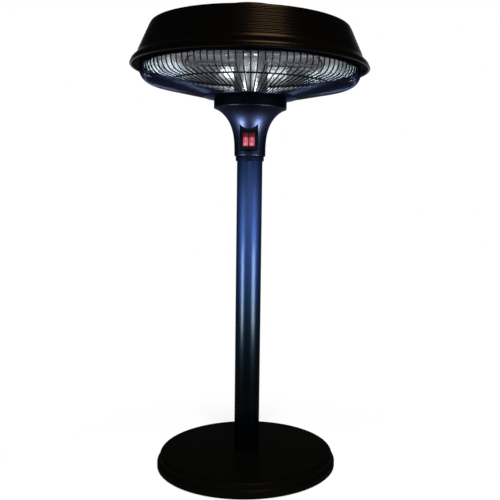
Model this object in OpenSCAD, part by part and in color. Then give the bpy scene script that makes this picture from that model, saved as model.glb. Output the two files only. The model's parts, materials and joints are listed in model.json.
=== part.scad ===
// Electric tabletop heater: a weighted round base, a straight post, a flared switch housing,
// and a ribbed shade with two halogen lamps under a reflector behind a wire guard.
// Millimetres. +Z is up, the origin is on the table under the post, the switches face -Y.

/* [Base] */
// Diameter of the base at its bottom edge
base_d = 357.5; // [335:0.5:380]
// How far the upper wall of the base is inside its bottom edge
base_inset = 5.5; // [3:0.25:12]
// Height of the base cover from its bottom edge to its top
base_h = 28; // [26:0.5:40]
// Height of the straight band at the bottom edge
band_h = 9; // [6:0.5:12]
// Height of the step between the band and the upper wall
step_h = 10; // [7:0.5:12]
// Width of the rounded shoulder
shoulder_w = 10; // [6:0.5:16]
// Height of the rounded shoulder
shoulder_h = 6; // [4:0.5:7]
// Sheet thickness of the base cover
cover_t = 1.2; // [0.8:0.1:2]
// Thickness of the bottom plate
plate_t = 2; // [1:0.25:3]
// Gap between the ballast disc and the upper wall of the base
weight_gap = 14.25; // [12:0.25:30]
// Thickness of the ballast disc
weight_t = 12; // [10:0.5:15]
// Diameter of the ballast's boss under the post
weight_boss_d = 72; // [60:1:100]

/* [Feet and cord inlet] */
// How far the feet stand below the base cover
foot_h = 3; // [3:0.5:6]
// Diameter of a foot
foot_d = 22; // [16:0.5:30]
// Number of feet
foot_count = 5; // [3:1:8]
// Distance of the feet's middles from the bottom edge of the base
foot_inset = 30.75; // [28:0.25:58]
// Bore of the cord inlet
inlet_bore_d = 7.2; // [5:0.1:8]
// Outer diameter of the cord inlet's sleeve
inlet_d = 11; // [10:0.5:12]
// Height of the cord inlet above the bottom plate
inlet_z = 7.5; // [7:0.5:9]

/* [Post] */
// Outer diameter of the post
post_d = 50; // [46:0.5:54]
// Wall of the post
post_t = 1.5; // [1:0.1:2.5]
// Length of the post
post_len = 595; // [450:1:700]
// Length of the plugs in the two ends of the post
plug_len = 30; // [26:1:45]
// Diameter of the bolts through the base
bolt_d = 8; // [6:0.5:9]
// Diameter of the rod up the middle of the head
rod_d = 10; // [8:0.5:12]

/* [Housing] */
// Outer diameter of the collar under the housing
collar_d = 55.4; // [54:0.2:58]
// Height of the collar
collar_h = 9.5; // [6:0.5:14]
// How far the collar's top edge is below the top of the post
collar_drop = 5.5; // [4:0.5:8]
// Outer diameter of the housing's neck
neck_d = 61; // [60:0.5:66]
// Height of the flared part of the housing
flare_h = 91.5; // [88:0.5:105]
// Outer diameter of the housing's mouth under its flange
mouth_d = 137; // [125:1:140]
// Outer diameter of the housing's flange
flange_d = 142; // [141:0.5:150]
// Height of the housing's flange
flange_h = 17.2; // [14:0.2:22]
// Wall of the housing
housing_t = 2.5; // [2:0.1:3.5]

/* [Switch] */
// Height of the middle of the switch above the bottom of the housing
switch_z = 30.2; // [29:0.1:33]
// Distance of the flat switch seat from the axis of the post
seat_y = 25.7; // [25:0.1:26.5]
// Width of the pocket round the switch
pocket_w = 35.4; // [33:0.2:38]
// Width of the switch frame
frame_w = 29; // [28:0.2:31]
// Height of the switch frame
frame_h = 34; // [33:0.2:37]
// Thickness of the switch frame's rim
frame_t = 2; // [1.5:0.1:3]
// Depth of the switch body behind its seat
switch_depth = 18; // [15:0.5:19]
// Width of one rocker
rocker_w = 10.3; // [9:0.1:10.6]
// Height of one rocker
rocker_h = 25; // [22:0.5:26]
// Swing of a rocker between its two positions, in degrees
rocker_swing = 18; // [10:1:20]

/* [Guard] */
// Number of guard wires
wire_count = 108; // [60:1:120]
// Diameter of a guard wire
wire_d = 2.4; // [1.6:0.1:2.8]
// Diameter of the guard's rings
ring_wire_d = 3; // [2:0.1:4]
// How far the guard's upright rim is inside the shade's lip
guard_inset = 19; // [18.5:0.5:24]
// Height of the wires' upright ends above their bend
upright_h = 7.6; // [7:0.1:12]
// Diameter of the plate in the middle of the guard
disc_d = 182; // [170:1:200]
// Thickness of that plate
disc_t = 1.2; // [0.8:0.1:2]
// Slope of the guard's wires, in degrees
guard_slope = 12.1; // [8:0.1:14]
// Radius of the bend below the rim
bend_r = 22; // [15:0.5:30]
// How far the ring welded inside the wires is inside the guard's rim
mid_ring_inset = 42.5; // [27:0.5:90]
// Turn of the wires from the front, in degrees
wire_turn = 1.03; // [0:0.01:3]

/* [Reflector and lamps] */
// Distance from the guard plate up to the reflector's ceiling
column_h = 120.6; // [110:0.2:130]
// Outer diameter of the bright column in the middle
column_d = 66; // [60:1:72]
// How far the reflector's mouth is inside the shade's lip
reflector_inset = 25; // [24.5:0.5:30]
// How far the edge of the reflector's flat ceiling is inside its mouth
ceiling_inset = 30; // [26:0.5:40]
// Sheet thickness of the reflector
reflector_t = 1; // [0.6:0.1:1.4]
// Distance of each lamp from the middle
lamp_y = 73; // [60:1:85]
// Height of the lamps below the reflector's ceiling
lamp_drop = 44; // [36:1:52]
// Distance of the ends of the lamps from the edge of the reflector's ceiling
lamp_inset = 41.5; // [39:0.5:55]
// Diameter of a lamp tube
lamp_d = 10; // [8:0.5:12]
// Wall of a lamp tube
lamp_t = 1; // [0.8:0.1:1.6]
// Diameter of a lamp's ceramic ends
cap_d = 13; // [12.6:0.1:15]
// Length of a lamp's ceramic ends
cap_len = 22; // [16:1:26]
// Diameter of the lamp leads
lead_d = 3; // [2:0.1:3.4]

/* [Shade] */
// Diameter of the shade at its rolled lip
lip_d = 462; // [460:1:480]
// Height of the lip's middle above the guard's top
lip_rise = 2; // [1.5:0.1:3]
// Diameter of the rolled bead on the lip
bead_d = 5; // [4:0.1:6]
// Sheet thickness of the shade
shade_t = 1.2; // [0.8:0.1:1.6]
// Height of the ribbed wall above the lip
wall_h = 72; // [70:0.5:80]
// Number of ribs round the wall
rib_count = 8; // [0:1:10]
// Height from one rib to the next
rib_pitch = 6.2; // [4:0.1:6.4]
// Height of a rib
rib_h = 1.1; // [0:0.1:2]
// Rise of the roof from the shoulder to the cap
roof_rise = 26; // [24:0.5:34]
// Diameter of the cap on the roof
cap_disc_d = 124; // [100:1:150]
// Height of the cap
cap_disc_h = 11.5; // [8:0.5:20]
// Diameter of the round nut on top
top_nut_d = 26; // [22:0.5:36]
// Height of the round nut on top
top_nut_h = 11; // [9:0.5:18]

/* [Hidden] */

// Shared clearances: a sliding fit, a running fit for pivots, and cover for a cut
fit = 0.1;
running = 0.05;
seat_gap = 0.03;
over = 1;
$fn = 96;

// Sizes that follow from the shade's lip and the base's edge
guard_d = lip_d - 2 * guard_inset;
mid_ring_r = guard_d / 2 - mid_ring_inset;
reflector_d = lip_d - 2 * reflector_inset;
ceiling_d = reflector_d - 2 * ceiling_inset;
lamp_len = ceiling_d - 2 * lamp_inset - 2 * cap_len;
base_r = base_d / 2;
upper_r = base_r - base_inset;
weight_r = upper_r - weight_gap;
foot_ring_r = base_r - foot_inset;

// Levels from the table up
cover_z = foot_h;
base_top = cover_z + base_h;
plate_z = cover_z + 1;
weight_z = plate_z + plate_t;
post_top = base_top + post_len;
housing_z = post_top - collar_drop;
collar_z = housing_z - collar_h;
mouth_z = housing_z + flare_h;
flange_top = mouth_z + flange_h;
disc_top = flange_top + disc_t;
ceiling_z = disc_top + column_h;
lamp_z = ceiling_z - lamp_drop;
inlet_axis_z = weight_z + inlet_z;
switch_mid = housing_z + switch_z;

// Guard: the wires lie on the plate's sloping edge, then bend up to the rim
disc_flat_out = 1;
wire_start = 4;
disc_flat_r = flange_d / 2 + disc_flat_out;
wire_in_r = disc_flat_r + wire_start;
wire_rise = (wire_d / 2 + seat_gap) / cos(guard_slope);
bend_mid_r = guard_d / 2 - bend_r;
tangent_r = bend_mid_r + bend_r * sin(guard_slope);
function disc_edge_z(r) = disc_top + (r - disc_flat_r) * tan(guard_slope);
function wire_z(r) = disc_edge_z(r) + wire_rise;
bend_mid_z = wire_z(tangent_r) + bend_r * cos(guard_slope);
guard_top = bend_mid_z + upright_h;

// Rim and shade
rim_plate_t = 1.2;
rim_top = guard_top + rim_plate_t;
lip_z = guard_top + lip_rise;
wall_top = lip_z + wall_h;
shoulder_rise = 6;
roof_top = wall_top + shoulder_rise + roof_rise;
bead_mid_r = lip_d / 2 - bead_d / 2;
rim_outer_r = bead_mid_r - bead_d / 2 - fit;
rim_screw_out = 7;
rim_screw_r = guard_d / 2 + rim_screw_out;
rim_screw_count = 6;
top_of_cap = roof_top + cap_disc_h;
spacer_d = 28;
rod_inset = 2;
rod_in_nut = 5.5;
rod_low = post_top - plug_len + rod_inset;
rod_high = top_of_cap + rod_in_nut;

// Small standard parts
screw_d = 3.8;
screw_head_d = 7;
screw_head_h = 2.4;
nut_flats = 17;
nut_h = 8;

// Shapes shared by several pieces

function unit(v) = v / norm(v);
function left_of(v) = [-v[1], v[0]];

// Normal of a profile at point i, scaled so that an offset keeps its distance at a corner
function mitre(path, i) =
    let (last = len(path) - 1,
         a = unit(path[max(i, 1)] - path[max(i, 1) - 1]),
         b = unit(path[min(i, last - 1) + 1] - path[min(i, last - 1)]),
         m = unit(left_of(a) + left_of(b)))
    m / (m * left_of(a));

// Closed outline of a sheet of thickness t that follows a profile, on its left side
function sheet(path, t) =
    concat(path, [for (i = [len(path) - 1 : -1 : 0]) path[i] + t * mitre(path, i)]);

module revolve(points, segments = 180) {
    rotate_extrude($fn = segments) polygon(points);
}

module ring_of(count, radius, turn = 0) {
    for (i = [0 : count - 1])
        rotate([0, 0, turn + i * 360 / count]) translate([radius, 0, 0]) children();
}

module tube(r_out, r_in, h) {
    difference() {
        cylinder(r = r_out, h = h);
        translate([0, 0, -over]) cylinder(r = r_in, h = h + 2 * over);
    }
}

// Pan-head screw with its seat at the origin, its head below and its shank upwards
module screw_up(shank) {
    cylinder(d = screw_d, h = shank, $fn = 32);
    translate([0, 0, -screw_head_h]) cylinder(d = screw_head_d, h = screw_head_h, $fn = 32);
}

// Base

bolt_count = 3;
bolt_circle_r = 15;
bolt_turn = 30;
bolt_head_extra = 4.8;
bolt_head_d = bolt_d + bolt_head_extra;
bolt_head_h = 6;
bolt_sink = 2;
bolt_end_gap = 4;
cable_d = 12;
base_profile = concat(
    [[base_r, cover_z]],
    [for (i = [0 : 8]) let (t = i / 8)
        [upper_r + (base_r - upper_r) * (1 + cos(180 * t)) / 2, cover_z + band_h + t * step_h]],
    [for (i = [0 : 8]) let (a = 90 * i / 8)
        [upper_r - shoulder_w + shoulder_w * cos(a), base_top - shoulder_h + shoulder_h * sin(a)]],
    [[cable_d / 2, base_top]]);

module at_bolts() {
    ring_of(bolt_count, bolt_circle_r, bolt_turn) children();
}

module base_cover() {
    color("#141414") difference() {
        revolve(sheet(base_profile, cover_t));
        at_bolts() translate([0, 0, base_top - cover_t - over])
            cylinder(d = bolt_d + 2 * fit, h = cover_t + 2 * over);
        translate([0, base_r - inlet_len, inlet_axis_z]) rotate([-90, 0, 0])
            cylinder(d = inlet_d + 2 * fit, h = 2 * inlet_len);
    }
}

// Ballast disc with a boss under the post, a channel for the cord and counterbores for the bolts
bolt_head_room = 3;
channel_roof = 3.5;
module base_weight() {
    h = base_top - cover_t - weight_z;
    channel_h = inlet_axis_z + inlet_d / 2 + channel_roof - weight_z;
    color("#5b5b58") translate([0, 0, weight_z]) difference() {
        union() {
            cylinder(r = weight_r, h = weight_t, $fn = 180);
            cylinder(d = weight_boss_d, h = h);
        }
        translate([0, 0, -over]) cylinder(d = cable_d, h = h + 2 * over);
        translate([-cable_d / 2, 0, -over]) cube([cable_d, base_r, channel_h + over]);
        at_bolts() {
            translate([0, 0, -over]) cylinder(d = bolt_d + 2 * fit, h = h + 2 * over);
            translate([0, 0, -over])
                cylinder(d = bolt_head_d + bolt_head_room, h = bolt_head_h + bolt_sink + over);
        }
        ring_of(foot_count, foot_ring_r, -90) translate([0, 0, -over])
            cylinder(d = screw_d + 2 * fit, h = foot_screw_bite + 2 * over);
    }
}

foot_screw_bite = 8;
foot_screw_seat = 1;
foot_top = plate_z;
plate_gap = 0.4;

module base_plate() {
    color("#2a2a2c") translate([0, 0, plate_z]) difference() {
        cylinder(r = base_r - cover_t - plate_gap, h = plate_t, $fn = 180);
        ring_of(foot_count, foot_ring_r, -90) translate([0, 0, -over])
            cylinder(d = screw_d + 2 * fit, h = plate_t + 2 * over, $fn = 32);
    }
}

module rubber_feet() {
    edge = 0.6;
    foot_head_room = 2;
    color("#1c1c1c") ring_of(foot_count, foot_ring_r, -90) difference() {
        rotate_extrude($fn = 64) polygon([[0, 0], [foot_d / 2 - edge, 0], [foot_d / 2, edge],
                                          [foot_d / 2, foot_top], [0, foot_top]]);
        translate([0, 0, -over])
            cylinder(d = screw_head_d + foot_head_room, h = over + foot_top - foot_screw_seat, $fn = 32);
        translate([0, 0, -over]) cylinder(d = screw_d + 2 * fit, h = foot_top + 2 * over, $fn = 32);
    }
}

module foot_screws() {
    color("#9a9a9e") ring_of(foot_count, foot_ring_r, -90)
        translate([0, 0, foot_top - foot_screw_seat])
        screw_up(foot_screw_seat + plate_t + foot_screw_bite);
}

// Bush in the rear of the skirt that the cord comes out of, with a ring behind the skirt
inlet_flange_w = 2;
inlet_len = 21;
inlet_out = 3;
inlet_ring_w = 1;
inlet_ring_in = 3;
inlet_ring_t = 5;
module cord_inlet() {
    flange_y = base_r + fit;
    flange_r = inlet_d / 2 + inlet_flange_w;
    ring_r = inlet_d / 2 + inlet_ring_w;
    ring_y = upper_r - cover_t - inlet_ring_in;
    edge = 1;
    color("#101010") translate([0, 0, inlet_axis_z]) rotate([-90, 0, 0]) difference() {
        rotate_extrude($fn = 64) polygon([
            [0, flange_y + inlet_out - inlet_len],
            [inlet_d / 2, flange_y + inlet_out - inlet_len],
            [inlet_d / 2, ring_y - inlet_ring_t], [ring_r, ring_y - inlet_ring_t],
            [ring_r, ring_y], [inlet_d / 2, ring_y],
            [inlet_d / 2, flange_y], [flange_r, flange_y],
            [flange_r, flange_y + inlet_out - edge],
            [flange_r - edge, flange_y + inlet_out], [0, flange_y + inlet_out]]);
        cylinder(d = inlet_bore_d, h = base_d);
    }
}

// Post

post_r = post_d / 2;
plug_r = post_r - post_t - fit / 2;

module post_foot() {
    color("#77787c") translate([0, 0, base_top]) difference() {
        cylinder(r = plug_r, h = plug_len);
        translate([0, 0, -over]) cylinder(d = cable_d, h = plug_len + 2 * over);
        at_bolts() translate([0, 0, -over])
            cylinder(d = bolt_d + 2 * fit, h = plug_len - bolt_end_gap + over);
    }
}

module post_bolts() {
    low = weight_z + bolt_sink;
    color("#9a9a9e") at_bolts() translate([0, 0, low]) {
        cylinder(d = bolt_head_d, h = bolt_head_h, $fn = 6);
        cylinder(d = bolt_d, h = base_top + plug_len - bolt_end_gap - bolt_sink - low, $fn = 48);
    }
}

module post_tube() {
    color("#15161c") translate([0, 0, base_top]) tube(post_r, post_r - post_t, post_len);
}

head_hole_d = 9.6;
head_hole_y = 13;
module post_head() {
    color("#77787c") translate([0, 0, post_top - plug_len]) difference() {
        cylinder(r = plug_r, h = plug_len);
        translate([0, 0, -over]) cylinder(d = rod_d + 2 * fit, h = plug_len + 2 * over);
        translate([0, head_hole_y, -over]) cylinder(d = head_hole_d, h = plug_len + 2 * over);
    }
}

module post_collar() {
    edge = 1;
    in_r = post_r + fit;
    color("#15182c") revolve([[in_r, collar_z], [collar_d / 2 - edge, collar_z],
        [collar_d / 2, collar_z + edge], [collar_d / 2, housing_z], [in_r, housing_z]]);
}

// Housing: a trumpet that flares towards the guard, in two halves that meet front and back

flare_k = 0.937;
function flare(t) = (1 - sqrt(1 - pow(t * flare_k, 3))) / (1 - sqrt(1 - pow(flare_k, 3)));
flare_path = [for (i = [1 : 24]) let (t = i / 24)
    [neck_d / 2 + (mouth_d - neck_d) / 2 * flare(t), housing_z + flare_h * t]];
low_edge = 1.4;
edge_in = 0.8;
housing_outer = concat([[neck_d / 2 - edge_in, housing_z], [neck_d / 2, housing_z + low_edge]], flare_path,
    [[flange_d / 2 - edge_in, mouth_z], [flange_d / 2, mouth_z + edge_in], [flange_d / 2, flange_top]]);
floor_t = 2.5;
floor_hole_r = 12;
post_fit_r = post_r + fit;
cavity = [for (i = [3 : 23]) let (p = flare_path[i], n = mitre(flare_path, i)) p + housing_t * n];
housing_inner = concat(
    [[post_fit_r, housing_z], [post_fit_r, post_top], [floor_hole_r, post_top],
     [floor_hole_r, post_top + floor_t], [neck_d / 2 - housing_t, post_top + floor_t]],
    cavity, [[flange_d / 2 - housing_t, mouth_z + housing_t], [flange_d / 2 - housing_t, flange_top]]);
boss_count = 4;
boss_inset = 7;
boss_r = 5;
boss_hole_len = 12;
boss_screw_len = 10;
boss_ring_r = flange_d / 2 - boss_inset;

pocket_floor = 3.5;
pocket_up = 31;
pocket_low = post_top + pocket_floor;
pocket_high = switch_mid + pocket_up;
pocket_wall = 2;
tongue_drop = 10;
tongue_r = (pow(pocket_w / 2, 2) + pow(tongue_drop, 2)) / (2 * tongue_drop);

module housing() {
    difference() {
        union() {
            revolve(concat(housing_outer, [for (i = [len(housing_inner) - 1 : -1 : 0]) housing_inner[i]]));
            intersection() {
                revolve(concat(housing_outer, [[0, flange_top], [0, housing_z]]));
                translate([-pocket_w / 2 - pocket_wall, -flange_d, pocket_low - pocket_wall])
                    cube([pocket_w + 2 * pocket_wall, flange_d - seat_y + pocket_wall,
                          pocket_high - pocket_low + 2 * pocket_wall]);
            }
            ring_of(boss_count, boss_ring_r, 45) translate([0, 0, mouth_z - over])
                cylinder(r = boss_r, h = flange_h + over, $fn = 48);
        }
        difference() {
            translate([-pocket_w / 2, -flange_d, pocket_low])
                cube([pocket_w, flange_d - seat_y, pocket_high - pocket_low]);
            translate([0, over, pocket_high - tongue_drop + tongue_r]) rotate([90, 0, 0])
                cylinder(r = tongue_r, h = flange_d + 2 * over);
        }
        translate([-switch_body_w / 2 - fit, -seat_y - over, switch_mid - switch_body_h / 2 - fit])
            cube([switch_body_w + 2 * fit, 2 * pocket_wall + over, switch_body_h + 2 * fit]);
        ring_of(boss_count, boss_ring_r, 45) translate([0, 0, flange_top - boss_hole_len])
            cylinder(d = screw_d + 2 * fit, h = boss_hole_len + over, $fn = 32);
    }
}

module half(side) {
    intersection() {
        housing();
        translate([side < 0 ? -flange_d : 0, -flange_d, 0]) cube([flange_d, 2 * flange_d, 2 * flange_top]);
    }
}

module housing_left() { color("#171b31") half(-1); }
module housing_right() { color("#171b31") half(1); }

// Switch: a snap-in frame with two rockers side by side

frame_lip = 1.5;
switch_body_w = frame_w - 2 * frame_lip;
switch_body_h = frame_h - 2 * frame_lip;
cell_gap = 0.3;
bar_w = 1.2;
pivot_r = 1.3;
pivot_depth = 2.5;
rocker_proud = 2.2;
dish = 1.7;
back_depth = 6.4;
pin_out = 1.2;
cell_w = rocker_w + 2 * cell_gap;
cell_x = (cell_w + bar_w) / 2;
frame_front_y = -seat_y - frame_t;
pivot_y = frame_front_y + pivot_depth;
rocker_end_r = norm([rocker_h / 2, pivot_depth]);
cell_h = 2 * (rocker_end_r + cell_gap);
cell_depth = rocker_end_r + cell_gap - 3;
rest_angle = -rocker_swing / 2;

module switch_body() {
    color("#0d0d0e") difference() {
        union() {
            translate([-frame_w / 2, frame_front_y, switch_mid - frame_h / 2])
                cube([frame_w, frame_t, frame_h]);
            translate([-switch_body_w / 2, -seat_y, switch_mid - switch_body_h / 2])
                cube([switch_body_w, switch_depth, switch_body_h]);
        }
        for (side = [-1, 1])
            translate([side * cell_x - cell_w / 2, frame_front_y - over, switch_mid - cell_h / 2])
                cube([cell_w, pivot_depth + cell_depth + over, cell_h]);
        translate([-cell_x - cell_w / 2 - pin_out, pivot_y, switch_mid]) rotate([0, 90, 0])
            cylinder(r = pivot_r + running, h = 2 * cell_x + cell_w + 2 * pin_out, $fn = 48);
    }
}

// A rocker with a dished face, ends round its pivot, and a stub pin on each side
module rocker(side) {
    front = pivot_depth + rocker_proud;
    front_a = asin(front / rocker_end_r);
    back_a = asin(back_depth / rocker_end_r);
    arc = [for (i = [0 : 6]) front_a - (front_a + back_a) * i / 6];
    outer_pin = cell_gap + pin_out - 0.2;
    inner_pin = cell_gap + bar_w / 2 - 0.1;
    left_pin = side < 0 ? outer_pin : inner_pin;
    translate([side * cell_x, pivot_y, switch_mid]) rotate([rest_angle, 0, 0]) {
        translate([-rocker_w / 2, 0, 0]) rotate([90, 0, 90]) linear_extrude(height = rocker_w)
            polygon(concat([[dish - front, 0]],
                [for (a = arc) rocker_end_r * [-sin(a), -cos(a)]],
                [for (i = [6 : -1 : 0]) rocker_end_r * [-sin(arc[i]), cos(arc[i])]]));
        translate([-rocker_w / 2 - left_pin, 0, 0]) rotate([0, 90, 0])
            cylinder(r = pivot_r, h = rocker_w + outer_pin + inner_pin, $fn = 48);
    }
}

module rocker_left() { color("#c3122a") rocker(-1); }
module rocker_right() { color("#c3122a") rocker(1); }

tab_t = 0.8;
tab_h = 6.3;
tab_len = 8;
tab_x = 6.5;
tab_row = 8;
module switch_terminals() {
    color("#c9a24a") for (x = [-tab_x, tab_x], z = [-tab_row, tab_row])
        translate([x - tab_t / 2, -seat_y + switch_depth, switch_mid + z - tab_h / 2])
            cube([tab_t, tab_len, tab_h]);
}

// Wiring parts inside the housing

strap_t = 1.5;
strap_w = 16;
strap_y = rod_d / 2 + 3;
strap_foot = 11;
strap_over = 2;
floor_z = post_top + floor_t;
block_z = floor_z + 7.5;
block_w = 26;
block_t = 12;
block_h = 24;
block_ways = 4;
block_hole_d = 3.4;
block_hole_z = 18;
block_hole_len = 5;
tilt_z = block_z + block_h + 8;
tilt_w = 18;
tilt_t = 14;
tilt_h = 20;
module wiring_bracket() {
    color("#a9abb0") {
        translate([-strap_w / 2, strap_y, floor_z])
            cube([strap_w, strap_t, tilt_z + tilt_h + strap_over - floor_z]);
        translate([-strap_w / 2, strap_y + strap_t, floor_z]) cube([strap_w, strap_foot, strap_t]);
    }
}

module terminal_block() {
    way = block_w / block_ways;
    color("#e6e2d4") translate([-block_w / 2, strap_y + strap_t, block_z]) difference() {
        cube([block_w, block_t, block_h]);
        for (i = [0 : block_ways - 1])
            translate([(i + 0.5) * way, block_t + over, block_hole_z]) rotate([90, 0, 0])
            cylinder(d = block_hole_d, h = block_hole_len + over, $fn = 32);
    }
}

module tilt_switch() {
    color("#202124") translate([-tilt_w / 2, strap_y + strap_t, tilt_z]) cube([tilt_w, tilt_t, tilt_h]);
}

// Rod that clamps the head together

module centre_rod() {
    color("#b4b5b9") translate([0, 0, rod_low]) cylinder(d = rod_d, h = rod_high - rod_low, $fn = 64);
}

module rod_nut() {
    color("#b4b5b9") translate([0, 0, disc_top]) difference() {
        cylinder(d = nut_flats / cos(30), h = nut_h, $fn = 6);
        translate([0, 0, -over]) cylinder(d = rod_d + 2 * fit, h = nut_h + 2 * over, $fn = 64);
    }
}

// Guard

module guard_disc() {
    edge_r = disc_d / 2;
    slope_z = disc_edge_z(edge_r);
    drop = disc_t / cos(guard_slope);
    color("#191c30") difference() {
        revolve([[rod_d / 2 + fit, flange_top], [disc_flat_r, flange_top], [edge_r - 0.4, slope_z - drop],
                 [edge_r, slope_z - drop / 2], [edge_r - 0.4, slope_z - 0.05],
                 [disc_flat_r, disc_top], [rod_d / 2 + fit, disc_top]]);
        ring_of(boss_count, boss_ring_r, 45) translate([0, 0, flange_top - over])
            cylinder(d = screw_d + 2 * fit, h = disc_t + 2 * over, $fn = 32);
        for (sx = [-1, 1], sy = [-1, 1]) translate([sx * lead_hole[0], sy * lead_hole[1], flange_top - over])
            cylinder(d = lead_d + lead_room, h = disc_t + 2 * over, $fn = 32);
    }
}

module disc_screws() {
    color("#9a9a9e") ring_of(boss_count, boss_ring_r, 45) translate([0, 0, disc_top]) mirror([0, 0, 1])
        screw_up(disc_t + boss_screw_len);
}

// One wire of the guard: a sloping run, a bend that the bending thins a little, and a short upright
bend_thinning = 0.03;
bend_lap = 0.5;
module guard_wire() {
    run = (tangent_r - wire_in_r) / cos(guard_slope);
    translate([wire_in_r, 0, wire_z(wire_in_r)]) rotate([0, 90 - guard_slope, 0])
        cylinder(d = wire_d, h = run + bend_lap, $fn = 24);
    translate([bend_mid_r, 0, bend_mid_z]) rotate([-90, 0, 0])
        rotate_extrude(angle = 90 - guard_slope, $fn = 96) translate([bend_r, 0])
        circle(d = wire_d - 2 * bend_thinning, $fn = 24);
    translate([guard_d / 2, 0, bend_mid_z - bend_lap])
        cylinder(d = wire_d, h = guard_top - bend_mid_z + bend_lap, $fn = 24);
}

module guard_wires() {
    color("#101015") ring_of(wire_count, 0, wire_turn - 90) guard_wire();
}

// Ring welded on the inside of the wires
module guard_ring() {
    off = wire_d / 2 + ring_wire_d / 2 + seat_gap;
    color("#101015") rotate_extrude($fn = 180)
        translate([mid_ring_r - off * sin(guard_slope), wire_z(mid_ring_r) + off * cos(guard_slope)])
        circle(d = ring_wire_d, $fn = 32);
}

rim_wire_r = guard_d / 2 - wire_d / 2 - ring_wire_d / 2 - seat_gap;
rim_wire_z = guard_top - ring_wire_d / 2 - seat_gap;
module guard_rim() {
    color("#101015") rotate_extrude($fn = 180) translate([rim_wire_r, rim_wire_z])
        circle(d = ring_wire_d, $fn = 32);
}

// J-shaped clips that hold the guard's rim against the rim plate
clip_w = 8;
clip_t = 1.2;
clip_hook = 2.4;
module guard_clips() {
    in_r = rim_wire_r - ring_wire_d / 2 - seat_gap - clip_t;
    hook_r = in_r + clip_t + clip_hook;
    low_z = rim_wire_z - ring_wire_d / 2 - seat_gap - clip_t;
    color("#9a9a9e") ring_of(rim_screw_count, 0, wire_turn - 90 + 180 / wire_count)
        rotate([90, 0, 0]) translate([0, 0, -clip_w / 2]) linear_extrude(height = clip_w)
        polygon([[in_r, guard_top], [in_r, low_z], [hook_r, low_z], [hook_r, low_z + clip_t],
                 [in_r + clip_t, low_z + clip_t], [in_r + clip_t, guard_top]]);
}

// Reflector and lamps

column_t = 1;
module centre_column() {
    color("#d9dadd") translate([0, 0, disc_top]) tube(column_d / 2, column_d / 2 - column_t, column_h);
}

reflector_rim_w = 5;
reflector_edge = 1.5;
reflector_low = 0.6;
reflector_round = 0.9;
reflector_path = concat(
    [[rim_screw_r + reflector_rim_w, rim_top], [reflector_d / 2 + reflector_edge, rim_top],
     [reflector_d / 2, rim_top + reflector_low]],
    [for (i = [1 : 12]) let (t = i / 12)
        [ceiling_d / 2 + ceiling_inset * pow(cos(90 * t), reflector_round),
         rim_top + reflector_low
            + (ceiling_z - rim_top - reflector_low) * pow(sin(90 * t), reflector_round)]],
    [[rod_d / 2 + fit, ceiling_z]]);
bracket_t = 1.2;
bracket_in = 8;
bracket_x = lamp_len / 2 + bracket_in;
bracket_leg = 18;
bracket_flange = 14;
bracket_strip = 12;
bracket_screw = [bracket_x + 7.5, 42];
ceiling_hole = [bracket_x - 13.5, 10];
lead_hole = [16, 9];
lead_room = 1.2;

module reflector() {
    color("#c9cbce") difference() {
        revolve(sheet(reflector_path, -reflector_t));
        for (sx = [-1, 1], sy = [-1, 1]) {
            translate([sx * lead_hole[0], sy * lead_hole[1], ceiling_z - over])
                cylinder(d = lead_d + lead_room, h = reflector_t + 2 * over, $fn = 32);
            translate([sx * ceiling_hole[0], sy * ceiling_hole[1], ceiling_z - over])
                cylinder(d = lead_d + lead_room, h = reflector_t + 2 * over, $fn = 32);
            translate([sx * bracket_screw[0], sy * bracket_screw[1], ceiling_z - over])
                cylinder(d = screw_d + 2 * fit, h = reflector_t + 2 * over, $fn = 32);
        }
        ring_of(rim_screw_count, rim_screw_r, 0) translate([0, 0, rim_top - over])
            cylinder(d = screw_d + 2 * fit, h = reflector_t + 2 * over, $fn = 32);
    }
}

module lamp(side) {
    translate([-lamp_len / 2, side * lamp_y, lamp_z]) rotate([0, 90, 0])
        tube(lamp_d / 2, lamp_d / 2 - lamp_t, lamp_len, $fn = 48);
}
module lamp_front() { color("#e9eaec") lamp(-1); }
module lamp_rear() { color("#e9eaec") lamp(1); }

module lamp_filaments() {
    filament_d = 2;
    color("#8f8a84") for (side = [-1, 1]) translate([-lamp_len / 2, side * lamp_y, lamp_z])
        rotate([0, 90, 0]) cylinder(d = filament_d, h = lamp_len, $fn = 24);
}

module lamp_caps() {
    color("#f1efe8") for (side = [-1, 1], end = [0, 1]) mirror([end, 0, 0])
        translate([lamp_len / 2, side * lamp_y, lamp_z]) rotate([0, 90, 0])
        cylinder(d = cap_d, h = cap_len, $fn = 48);
}

// Bent strap that carries one end of both lamps from the reflector's ceiling
module lamp_bracket() {
    outer_y = lamp_y + bracket_leg / 2;
    window_y = lamp_y - bracket_leg / 2;
    low = lamp_z - bracket_leg / 2;
    difference() {
        union() {
            translate([bracket_x, -outer_y, low]) cube([bracket_t, 2 * outer_y, ceiling_z - low]);
            translate([bracket_x, -outer_y, ceiling_z - bracket_t])
                cube([bracket_flange, 2 * outer_y, bracket_t]);
        }
        translate([bracket_x - over, -window_y, low - over])
            cube([bracket_t + 2 * over, 2 * window_y, ceiling_z - bracket_strip - low + over]);
        for (side = [-1, 1]) {
            translate([bracket_x - over, side * lamp_y, lamp_z]) rotate([0, 90, 0])
                cylinder(d = cap_d + 2 * fit, h = bracket_t + 2 * over, $fn = 48);
            translate([bracket_screw[0], side * bracket_screw[1], ceiling_z - bracket_t - over])
                cylinder(d = screw_d + 2 * fit, h = bracket_t + 2 * over, $fn = 32);
        }
    }
}
module lamp_bracket_left() { color("#b4b5b9") mirror([1, 0, 0]) lamp_bracket(); }
module lamp_bracket_right() { color("#b4b5b9") lamp_bracket(); }

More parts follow.
